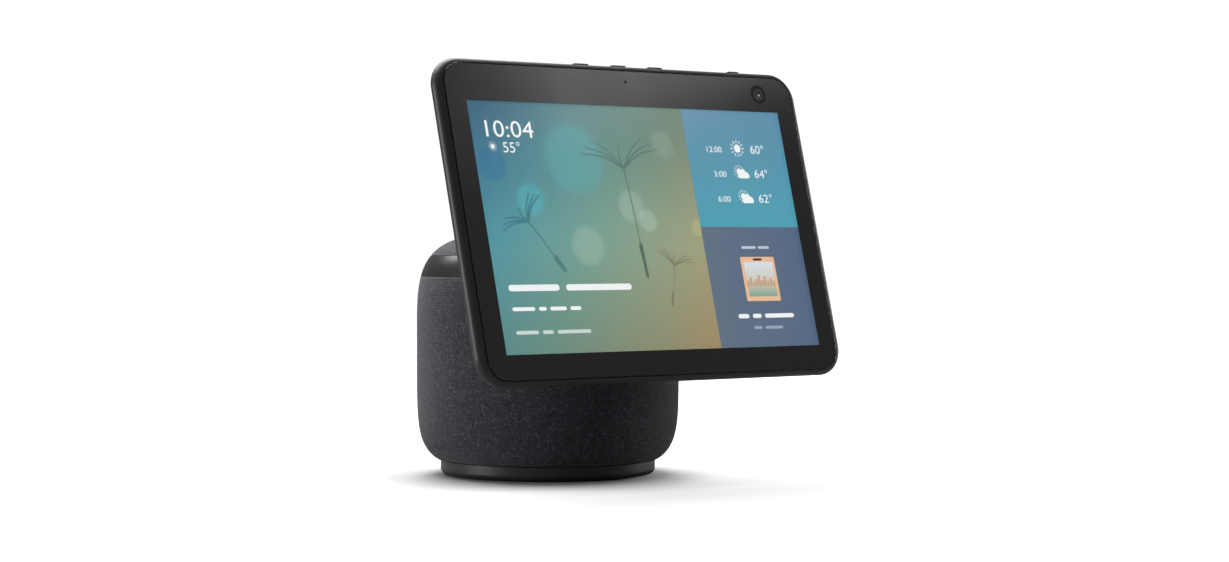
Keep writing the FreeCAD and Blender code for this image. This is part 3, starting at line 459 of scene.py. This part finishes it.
def outline_radius(z, body_r):
    """The speaker body's radius at a height, in millimetres."""
    upper = z > WAIST_Z
    power = CROWN_POWER if upper else BELLY_POWER
    half = CROWN_H if upper else BELLY_H
    share = min(abs(z - WAIST_Z) / half, 1.0)
    return body_r * (1 - share**power) ** (1 / power)


def lathe_sheet(name, rings, count, material, body):
    """A sheet made of rings of (x, y, z, u, v), lowest first, with a UV map in metres."""
    verts = [Vector(p[:3]) for ring in rings for p in ring]
    uvs = [p[3:] for ring in rings for p in ring]
    stride = len(rings[0])
    faces = []
    for i in range(len(rings) - 1):
        for j in range(count):
            a = i * stride + j
            faces.append((a, a + 1, a + stride + 1, a + stride))
    piece = make_piece(name, verts, faces, material, body)
    layer = piece.data.uv_layers.new(name="cloth")
    for loop in piece.data.loops:
        layer.data[loop.index].uv = uvs[loop.vertex_index]
    smooth(piece)
    weld(piece)
    return piece


def weld(piece):
    """Join the seam where the last column of a lathe meets the first."""
    mesh = bmesh.new()
    mesh.from_mesh(piece.data)
    bmesh.ops.remove_doubles(mesh, verts=mesh.verts, dist=0.00001)
    mesh.to_mesh(piece.data)
    mesh.free()


def sleeve_rings(body_r, low_z, high_z, notch_low_z, notch_half):
    """Rings of the knitted sleeve, with hems turned in and the arm's notch at the front."""
    rings = []
    for i in range(SLEEVE_ROWS + 1):
        ring = []
        for j in range(SLEEVE_COLUMNS + 1):
            angle = 2 * math.pi * j / SLEEVE_COLUMNS
            top = high_z - (high_z - notch_low_z) * notch_depth(angle, body_r, notch_half)
            z = low_z + (top - low_z) * i / SLEEVE_ROWS
            r = outline_radius(z, body_r) + ripple(angle, z)
            ring.append(cloth_point(r, angle, z, body_r))
        rings.append(ring)
    return [hem(rings[0], 2.2, 0.5)] + rings + [hem(rings[-1], 1.4, -0.5)]


def notch_depth(angle, body_r, notch_half):
    """1 in front of the arm, 0 elsewhere, with short ramps between."""
    sideways = abs(body_r * math.cos(angle))
    if math.sin(angle) > 0:
        return 0.0
    share = (notch_half + NOTCH_RAMP / 2 - sideways) / NOTCH_RAMP
    return min(max(share, 0.0), 1.0)


def ripple(angle, z):
    """Faint slackness of cloth over the slotted shell."""
    place = Vector((math.cos(angle) * 4, math.sin(angle) * 4, z / 18))
    return 0.06 * noise.noise(place)


def cloth_point(r, angle, z, body_r):
    x = r * math.cos(angle) * MM
    y = r * math.sin(angle) * MM
    return (x, y, z * MM, body_r * angle * MM, z * MM)


def hem(ring, inward, down):
    """The edge of a ring folded in towards the axis."""
    folded = []
    for x, y, z, u, v in ring:
        radius = math.hypot(x, y)
        scale = (radius - inward * MM) / radius
        folded.append((x * scale, y * scale, z + down * MM, u, v + down * MM))
    return folded


def make_sleeve():
    low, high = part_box("fabric_sleeve")
    band_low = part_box("shoulder_band")[0][2] / MM
    arm_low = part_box("arm_cover_lower")[0][2] / MM
    arm_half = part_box("arm_cover_lower")[1][0] / MM
    body_r = high[0] / MM
    top = band_low - BAND_GAP
    rings = sleeve_rings(body_r, low[2] / MM, top, arm_low - SKIN_GAP, arm_half + SKIN_GAP)
    cloth = knit("knit_sleeve", STITCH_W, STITCH_H, 1.14)
    piece = lathe_sheet("knit_sleeve", rings, SLEEVE_COLUMNS, cloth, "speaker")
    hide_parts("fabric_sleeve")


def make_cap():
    """The knitted disc over the crown, with its hem turned in at the band."""
    low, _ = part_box("cap_fabric")
    body_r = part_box("fabric_sleeve")[1][0] / MM
    edge_r = outline_radius(low[2] / MM, body_r)
    rings = []
    for i in range(CAP_ROWS + 1):
        turn = math.pi / 2 * i / CAP_ROWS
        r = edge_r * math.cos(turn)
        z = crown_height(r, body_r)
        ring = []
        for j in range(CAP_COLUMNS + 1):
            angle = 2 * math.pi * j / CAP_COLUMNS
            x = r * math.cos(angle) * MM
            y = r * math.sin(angle) * MM
            ring.append((x, y, z * MM, x, y))
        rings.append(ring)
    rings = [hem(rings[0], 1.5, -0.3)] + rings
    cloth = knit("knit_cap", STITCH_W, STITCH_H, 1.1)
    piece = lathe_sheet("knit_cap", rings, CAP_COLUMNS, cloth, "speaker")
    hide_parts("cap_fabric")


def crown_height(r, body_r):
    """Height of the crown's surface at a radius."""
    share = min(r / body_r, 1.0)
    return WAIST_Z + CROWN_H * (1 - share**CROWN_POWER) ** (1 / CROWN_POWER)


# --- the picture on the panel ---


def flat_piece(name, outline, lift, material):
    """A flat patch of the picture, from its outline in the display's frame."""
    verts = [(x * MM, y * MM, lift * MM) for x, y in outline]
    return make_piece(name, verts, [tuple(range(len(verts)))], material, "display", DISPLAY)


def rectangle(x0, x1, y0, y1):
    return [(x0, y0), (x1, y0), (x1, y1), (x0, y1)]


def disc(x, y, radius, count=40):
    points = []
    for i in range(count):
        angle = 2 * math.pi * i / count
        points.append((x + radius * math.cos(angle), y + radius * math.sin(angle)))
    return points


def round_bar(x0, x1, y, height, count=8):
    """A bar with round ends."""
    radius = height / 2
    points = []
    for centre, start in ((x1 - radius, -math.pi / 2), (x0 + radius, math.pi / 2)):
        for i in range(count + 1):
            angle = start + math.pi * i / count
            points.append((centre + radius * math.cos(angle), y + radius * math.sin(angle)))
    return points


def round_rectangle(x0, x1, y0, y1, radius, count=6):
    points = []
    corners = [(x1 - radius, y1 - radius, 0), (x0 + radius, y1 - radius, 1)]
    corners += [(x0 + radius, y0 + radius, 2), (x1 - radius, y0 + radius, 3)]
    for cx, cy, quarter in corners:
        for i in range(count + 1):
            angle = math.pi / 2 * (quarter + i / count)
            points.append((cx + radius * math.cos(angle), cy + radius * math.sin(angle)))
    return points


def scene_colour():
    """The wallpaper: a slanting blend from blue through teal and sage to sand, dimmer at top and foot."""
    s = Shader("wallpaper")
    x, y, _ = s.split(s.coordinates("UV"))
    down = s.math("SUBTRACT", 1.0, y)
    slant = s.math("ADD", s.math("MULTIPLY", x, 1.0 - SLANT), s.math("MULTIPLY", down, SLANT))
    blue = linear(45, 115, 155)
    teal = linear(80, 150, 160)
    sage = linear(115, 160, 145)
    olive = linear(155, 160, 125)
    sand = linear(180, 155, 110)
    colour = s.ramp(slant, [(0.0, blue), (0.25, teal), (0.5, sage), (0.8, olive), (1.0, sand)])
    dim_top = s.range(y, 0.5, 1.0, 1.0, 0.6)
    dim_foot = s.range(y, 0.0, 0.4, 0.75, 1.0)
    s.set(Base_Color=BLACK, Roughness=0.5, Emission_Color=colour)
    s.set(Emission_Strength=s.math("MULTIPLY", dim_top, dim_foot))
    return s.material


def with_uv(piece, x0, x1, y0, y1):
    """UVs that run from 0 to 1 over a rectangle of the display's frame."""
    layer = piece.data.uv_layers.new(name="picture")
    back = DISPLAY.inverted()
    for loop in piece.data.loops:
        local = back @ piece.data.vertices[loop.vertex_index].co
        layer.data[loop.index].uv = ((local.x / MM - x0) / (x1 - x0), (local.y / MM - y0) / (y1 - y0))


def soft_disc(name, x, y, radius, colour, strength):
    """An out-of-focus light: a see-through disc that fades at its rim."""
    s = Shader(name)
    u, v, _ = s.split(s.coordinates("UV"))
    du = s.math("SUBTRACT", u, 0.5)
    dv = s.math("SUBTRACT", v, 0.5)
    far = s.math("SQRT", s.math("ADD", s.math("MULTIPLY", du, du), s.math("MULTIPLY", dv, dv)))
    clear = s.range(far, 0.36, 0.5, strength, 0.0)
    s.set(Base_Color=BLACK, Emission_Color=colour, Emission_Strength=1.0, Alpha=clear)
    s.set(Specular_IOR_Level=0.0)
    piece = flat_piece(name, disc(x, y, radius), PICTURE_LIFT + 0.02, s.material)
    with_uv(piece, x - radius, x + radius, y - radius, y + radius)


def strand(name, points, width, material, lift):
    """A thin tapering line through a few points, as one flat ribbon."""
    fine = []
    for i in range(len(points) - 1):
        for k in range(6):
            t = k / 6
            p = [points[max(i - 1, 0)], points[i], points[i + 1], points[min(i + 2, len(points) - 1)]]
            fine.append(tuple(catmull(p, t, axis) for axis in (0, 1)))
    fine.append(points[-1])
    verts = []
    for i, (x, y) in enumerate(fine):
        ahead = fine[min(i + 1, len(fine) - 1)]
        behind = fine[max(i - 1, 0)]
        run = Vector((ahead[0] - behind[0], ahead[1] - behind[1])).normalized()
        half = width / 2 * (1.0 - TAPER * i / len(fine))
        verts.append(((x - run.y * half) * MM, (y + run.x * half) * MM, lift * MM))
        verts.append(((x + run.y * half) * MM, (y - run.x * half) * MM, lift * MM))
    faces = [(2 * i, 2 * i + 1, 2 * i + 3, 2 * i + 2) for i in range(len(fine) - 1)]
    make_piece(name, verts, faces, material, "display", DISPLAY)


def catmull(p, t, axis):
    a, b, c, d = (q[axis] for q in p)
    return 0.5 * (2 * b + (c - a) * t + (2 * a - 5 * b + 4 * c - d) * t**2 + (3 * b - a - 3 * c + d) * t**3)


def seed_head(name, hub, lean, stem_l, hair_l, scale, dark, fuzz):
    """A drifting seed: a fan of bent hairs, opposite a thin stem with a slim seed at its foot."""
    foot = polar(hub, 180.0 - lean, stem_l)
    tip = polar(foot, 180.0 - lean, SEED_SHARE * stem_l)
    stem = [hub, between(hub, foot, 0.5, 0.4), foot]
    strand(f"{name}_stem", stem, 0.75 * scale, dark, PICTURE_LIFT + 0.04)
    belly = between(foot, tip, 0.5, 0.0)
    strand(f"{name}_seed", [foot, belly, tip], 2.6 * scale, dark, PICTURE_LIFT + 0.045)
    for i in range(HAIR_COUNT):
        side = 2.0 * i / (HAIR_COUNT - 1) - 1.0
        fan = math.copysign(HAIR_SPREAD * abs(side) ** 0.35, side)
        length = hair_l * (0.5 + 0.5 * abs(math.sin(math.radians(fan))))
        end = polar(hub, fan - lean, length)
        bow = math.copysign(0.09 * length, fan)
        hair = [hub, between(hub, end, 0.5, bow), end]
        strand(f"{name}_hair_{i}", hair, 0.95 * scale, fuzz, HAIR_LIFT)


def polar(start, angle, length):
    """A point at a distance from another, at an angle clockwise from straight up."""
    turn = math.radians(angle)
    return (start[0] + length * math.sin(turn), start[1] + length * math.cos(turn))


def between(start, end, share, bow):
    """A point part of the way along a line, pushed sideways by a bow in millimetres."""
    dx, dy = end[0] - start[0], end[1] - start[1]
    length = math.hypot(dx, dy)
    return (start[0] + dx * share - bow * dy / length, start[1] + dy * share + bow * dx / length)


def numerals(name, words, x, y, size, material, widen=1.12):
    """A row of figures, as a mesh standing on its baseline."""
    curve = bpy.data.curves.new(name, "FONT")
    curve.body = words
    curve.size = size * MM
    curve.align_x = "LEFT"
    curve.resolution_u = 4
    text = bpy.data.objects.new(name, curve)
    bpy.context.scene.collection.objects.link(text)
    bpy.context.view_layer.update()
    mesh = bpy.data.meshes.new_from_object(text)
    bpy.data.objects.remove(text)
    mesh.materials.clear()
    mesh.materials.append(material)
    place = Matrix.Translation((x * MM, y * MM, (PICTURE_LIFT + 0.07) * MM))
    mesh.transform(DISPLAY @ place @ Matrix.Diagonal((widen, 1.0, 1.0, 1.0)))
    piece = bpy.data.objects.new(name, mesh)
    bpy.context.scene.collection.objects.link(piece)
    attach(piece, "display")


def sun(name, x, y, radius, material):
    flat_piece(f"{name}_disc", disc(x, y, radius), MARK_LIFT, material)
    for i in range(12):
        angle = 2 * math.pi * i / 12
        near = (x + 1.4 * radius * math.cos(angle), y + 1.4 * radius * math.sin(angle))
        far = (x + 2.1 * radius * math.cos(angle), y + 2.1 * radius * math.sin(angle))
        strand(f"{name}_ray_{i}", [near, far], radius * 0.26, material, MARK_LIFT)


def cloud(name, x, y, size, material):
    puffs = [(-0.5, 0.0, 0.34), (0.0, 0.26, 0.46), (0.5, 0.02, 0.36)]
    for i, (dx, dy, r) in enumerate(puffs):
        outline = disc(x + dx * size, y + dy * size, r * size)
        flat_piece(f"{name}_puff_{i}", outline, PICTURE_LIFT + 0.062 + 0.002 * i, material)
    base = round_bar(x - 0.87 * size, x + 0.95 * size, y - 0.14 * size, 0.56 * size)
    flat_piece(f"{name}_base", base, PICTURE_LIFT + 0.07, material)


def word_bars(name, x, y, height, lengths, gap, material):
    """Plain rounded bars in place of a line of words."""
    for i, length in enumerate(lengths):
        bar = round_bar(x, x + length, y, height)
        flat_piece(f"{name}_{i}", bar, MARK_LIFT, material)
        x += length + gap


def make_wallpaper():
    half_w = PICTURE_W / 2
    half_h = PICTURE_H / 2
    area = (-half_w, COLUMN_X, -half_h, half_h)
    whole = rectangle(-half_w - BLEED, COLUMN_X, -half_h - BLEED, half_h + BLEED)
    backdrop = flat_piece("wallpaper", whole, PICTURE_LIFT, scene_colour())
    with_uv(backdrop, *area)
    pale = linear(180, 205, 190)
    aqua = linear(85, 180, 190)
    discs = [
        (-76, 15, 10, aqua, 0.5), (20, 47, 9, linear(140, 165, 150), 0.45), (-9, 12, 10, pale, 0.28),
        (1, 4, 7, pale, 0.34), (-43, -10, 12, pale, 0.26), (-43, 38, 22, linear(90, 175, 180), 0.4),
        (36, 0, 9, linear(190, 185, 130), 0.5), (-98, 34, 20, linear(30, 110, 160), 0.35),
    ]
    for i, (x, y, radius, colour, strength) in enumerate(discs):
        radius = min(radius, half_w + x, COLUMN_X - x + DISC_OVERHANG)
        soft_disc(f"bokeh_{i}", x, y, radius, colour, strength)


def make_seed_heads():
    dark = glow("stem_dark", linear(76, 106, 90))
    hair = glow("hair_main", linear(74, 112, 104))
    seed_head("seed_main", (-10.0, 33.0), 4.0, 42.0, 29.0, 1.0, dark, hair)
    dusky = glow("stem_dusky", linear(72, 126, 122))
    haze = glow("hair_left", linear(56, 122, 136))
    seed_head("seed_left", (-80.0, 3.0), 36.0, 23.0, 18.0, 1.3, dusky, haze)
    twig = glow("stem_low", linear(122, 120, 92))
    seed_head("seed_low", (14.0, -21.0), -15.0, 16.0, 14.0, 0.7, twig, twig)


def make_column():
    """The two panels at the right: hourly weather above, a square cover and captions below."""
    half_w = PICTURE_W / 2
    half_h = PICTURE_H / 2
    sky = Shader("column_sky")
    _, v, _ = sky.split(sky.coordinates("UV"))
    stops = [(0.0, linear(70, 160, 180)), (1.0, linear(90, 140, 170))]
    sky.set(Base_Color=BLACK, Emission_Color=sky.ramp(v, stops), Emission_Strength=1.0)
    upper = (COLUMN_X, half_w + BLEED, COLUMN_SPLIT_Y, half_h + BLEED)
    top = flat_piece("column_top", rectangle(*upper), COLUMN_LIFT, sky.material)
    with_uv(top, *upper)
    slate = Shader("column_slate")
    u, _, _ = slate.split(slate.coordinates("UV"))
    stops = [(0.0, linear(90, 110, 130)), (1.0, linear(80, 100, 130))]
    slate.set(Base_Color=BLACK, Emission_Color=slate.ramp(u, stops), Emission_Strength=1.0)
    lower = (COLUMN_X, half_w + BLEED, -half_h - BLEED, COLUMN_SPLIT_Y)
    low = flat_piece("column_low", rectangle(*lower), COLUMN_LIFT, slate.material)
    with_uv(low, *lower)


def make_weather(white):
    """Three rows: the hour, a small picture of the sky and the degrees."""
    rows = [("12:00", "60°", 43.8, False), ("3:00", "64°", 29.6, True), ("6:00", "62°", 15.2, True)]
    for i, (hour, degrees, base, cloudy) in enumerate(rows):
        left = 50.8 if len(hour) > 4 else 53.8
        numerals(f"hour_{i}", hour, left, base, 4.9, white)
        numerals(f"degrees_{i}", degrees, 83.8, base - 0.3, 6.9, white)
        if cloudy:
            sun(f"sun_{i}", 73.0, base + 3.2, 1.9, white)
            cloud(f"cloud_{i}", 75.8, base + 1.3, 4.6, white)
        else:
            sun(f"sun_{i}", 74.5, base + 2.5, 2.4, white)


def make_cover_art(white):
    """A square cover with a seaside skyline in a pale frame, and bars for its captions."""
    frame_paint = glow("art_frame", linear(240, 190, 150))
    flat_piece("art_frame", round_rectangle(62.2, 87.2, -41.6, -16.4, 0.8), PICTURE_LIFT + 0.05, frame_paint)
    s = Shader("art_scene")
    _, v, _ = s.split(s.coordinates("UV"))
    stops = [(0.0, linear(120, 170, 150)), (0.4, linear(210, 200, 180)), (1.0, linear(220, 230, 240))]
    s.set(Base_Color=BLACK, Emission_Color=s.ramp(v, stops), Emission_Strength=1.0)
    art_area = (64.4, 85.4, -39.0, -19.3)
    art = flat_piece("art_scene", rectangle(*art_area), MARK_LIFT, s.material)
    with_uv(art, *art_area)
    wall = glow("art_wall", linear(200, 160, 130))
    for i, height in enumerate((3.2, 5.0, 2.6, 4.2, 6.4, 3.4, 5.6, 2.8, 4.6, 3.0)):
        left = art_area[0] + 2.1 * i
        block = rectangle(left, left + 1.6, -33.2, -33.2 + height)
        flat_piece(f"art_wall_{i}", block, PICTURE_LIFT + 0.062, wall)
    word_bars("art_head", 71.5, -17.9, 1.3, [6.5], 1.0, glow("dark_bar", linear(60, 44, 40)))
    word_bars("art_tag", 64.6, -11.0, 1.5, [10.6, 8.2], 1.6, glow("grey_bar", linear(196, 206, 214)))
    word_bars("art_title", 53.6, -50.0, 2.4, [8.0, 6.4, 21.6], 2.6, white)
    word_bars("art_maker", 63.6, -56.6, 1.7, [6.2, 13.0], 2.4, glow("soft_bar", linear(150, 168, 182)))


def make_left_words(white):
    numerals("clock", "10:04", -101.3, 48.8, 13.0, white, 1.2)
    sun("sun_now", -95.2, 43.5, 1.3, white)
    numerals("degrees_now", "55°", -89.0, 40.4, 8.2, white, 1.05)
    word_bars("event", -99.6, -32.4, 3.4, [33.0, 44.0], 4.4, white)
    word_bars("event_time", -99.2, -43.6, 2.0, [14.6, 5.0, 10.8, 7.2], 2.4, white)
    soft = glow("hint_bar", linear(206, 220, 214))
    word_bars("event_hint", -99.2, -56.0, 1.9, [14.6, 7.0, 22.0], 2.6, soft)


def make_picture():
    white = glow("picture_white", linear(246, 249, 250))
    make_wallpaper()
    make_seed_heads()
    make_column()
    make_weather(white)
    make_cover_art(white)
    make_left_words(white)


# --- border print on the glass ---


def make_border():
    """Black print on the glass: a frame with clear windows for picture, camera and microphone."""
    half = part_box("front_glass")[1][0] / MM - PRINT_INSET
    eye_x, eye_y = camera_eye()
    outer = round_rectangle(-half, half, PRINT_LOW, PRINT_HIGH, PRINT_CORNER, 10)
    windows = [rectangle(-PICTURE_W / 2, PICTURE_W / 2, -PICTURE_H / 2, PICTURE_H / 2)]
    windows.append(disc(eye_x, eye_y, EYE_WINDOW_R, 48))
    windows.append(disc(*MIC_PORT, MIC_PORT_R, 16))
    cut_sheet("border_print", outer, windows, INK_LIFT, black_ink())


def camera_eye():
    """Where the camera sits on the display, in its own millimetres."""
    place = DISPLAY.inverted() @ middle("camera_lens")
    return place.x / MM, place.y / MM


def make_eye():
    """A dark round surround on the glass over the camera, a small bright ring, a glowing disc as a painted
    highlight on the lens, and a dark disc of painted shade for the microphone port.
    """
    eye_x, eye_y = camera_eye()
    pitch = moulded_plastic("eye_pitch", linear(9, 9, 10), linear(13, 13, 14), 0.6)
    ring = moulded_plastic("eye_ring", linear(92, 93, 96), linear(104, 105, 108), 0.4)
    # painted highlight: the lens's glint is a small glowing disc on the glass
    glint = glow("eye_glint", linear(176, 180, 186))
    surround = disc(eye_x, eye_y, EYE_WINDOW_R, 48)
    cut_sheet("eye_surround", surround, [disc(eye_x, eye_y, EYE_RING_R, 40)], SKIN_LIFT, pitch)
    lens_edge = disc(eye_x, eye_y, EYE_LENS_R, 32)
    cut_sheet("eye_ring", disc(eye_x, eye_y, EYE_RING_R, 40), [lens_edge], SKIN_LIFT, ring)
    # the painted highlight of the lens's glint
    flat_piece("eye_glint", disc(eye_x + 0.5, eye_y - 0.5, EYE_GLINT_R, 16), SKIN_LIFT, glint)
    # painted shade: a dark matte disc on the glass for the dark inside of the microphone hole
    flat_piece("mic_port", disc(*MIC_PORT, MIC_PORT_R, 16), SKIN_LIFT, pitch)


def cut_sheet(name, outer, windows, lift, material):
    """A flat sheet with holes, filled between its outlines."""
    mesh = bmesh.new()
    edges = []
    for loop in [outer] + windows:
        verts = [mesh.verts.new((x * MM, y * MM, lift * MM)) for x, y in loop]
        for i in range(len(verts)):
            edges.append(mesh.edges.new((verts[i], verts[(i + 1) % len(verts)])))
    bmesh.ops.triangle_fill(mesh, edges=edges, use_beauty=True, use_dissolve=False)
    made = bpy.data.meshes.new(name)
    mesh.to_mesh(made)
    mesh.free()
    made.transform(DISPLAY)
    made.materials.append(material)
    piece = bpy.data.objects.new(name, made)
    bpy.context.scene.collection.objects.link(piece)
    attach(piece, "display")


# --- finishes for the CAD nodes ---


def node_finishes():
    """Which finish each CAD node takes."""
    charcoal = moulded_plastic("housing_charcoal", linear(44, 44, 46), linear(52, 52, 54), 0.42)
    satin = moulded_plastic("band_satin", linear(32, 33, 34), linear(38, 39, 40), 0.3, 3200.0, 0.00001)
    foot = moulded_plastic("foot_satin", linear(46, 47, 49), linear(55, 56, 58), 0.4, 3000.0, 0.00002)
    camera_black = moulded_plastic("camera_barrel", linear(92, 92, 95), linear(110, 110, 113), 0.35)
    inner = moulded_plastic("inner_black", linear(24, 24, 25), linear(30, 30, 31), 0.55)
    key = moulded_plastic("key_plastic", linear(42, 42, 44), linear(50, 50, 52), 0.36)
    steel = brushed_metal("steel", linear(130, 130, 132), linear(170, 170, 172), 0.32)
    dark_steel = brushed_metal("dark_steel", linear(70, 70, 72), linear(98, 98, 100), 0.4)
    copper = brushed_metal("copper", linear(160, 92, 52), linear(196, 120, 70), 0.3)
    brass = brushed_metal("brass", linear(180, 150, 84), linear(214, 182, 110), 0.28)
    black = rubber("black_rubber")
    board = circuit_board()
    by_slot = {
        "rubber_pad": black, "foot_plastic": foot, "ballast_steel": steel, "screw_steel": dark_steel,
        "jack_plastic": inner, "contact_brass": brass, "circuit_board": board, "bearing_steel": steel,
        "lamination_steel": dark_steel, "copper_winding": copper, "magnet": dark_steel,
        "inner_plastic": inner, "band_plastic": satin, "driver_frame": inner, "cone_paper": black,
        "soft_rubber": black, "arm_alloy": dark_steel, "arm_plastic": satin, "cable_jacket": black,
        "housing_plastic": charcoal, "cover_glass": cover_glass(), "screen": inner, "sheet_metal": steel,
        "frame_plastic": inner, "camera_black": camera_black, "lens_glass": lens_glass(), "key_plastic": key,
        "charcoal_knit": black,
    }
    return {part["node"]: by_slot[part["material_slot"]] for part in frame["record"]["subparts"]}


def lens_glass():
    """Coated lens with a faint violet sheen."""
    s = Shader("lens_glass")
    swirl = s.noise(s.coordinates(), 500.0, 1.0)
    s.set(Base_Color=s.ramp(swirl, [(0.3, linear(20, 20, 30)), (0.7, linear(34, 30, 48))]))
    s.set(Roughness=0.06, Coat_Weight=1.0, Coat_Roughness=0.03)
    return s.material


def paint_nodes():
    for node, material in node_finishes().items():
        mesh = frame["nodes"][node].data
        mesh.materials.clear()
        mesh.materials.append(material)


bpy.context.scene.view_settings.view_transform = "Standard"
make_stage()
paint_nodes()
make_sleeve()
make_cap()
make_border()
make_eye()
make_picture()
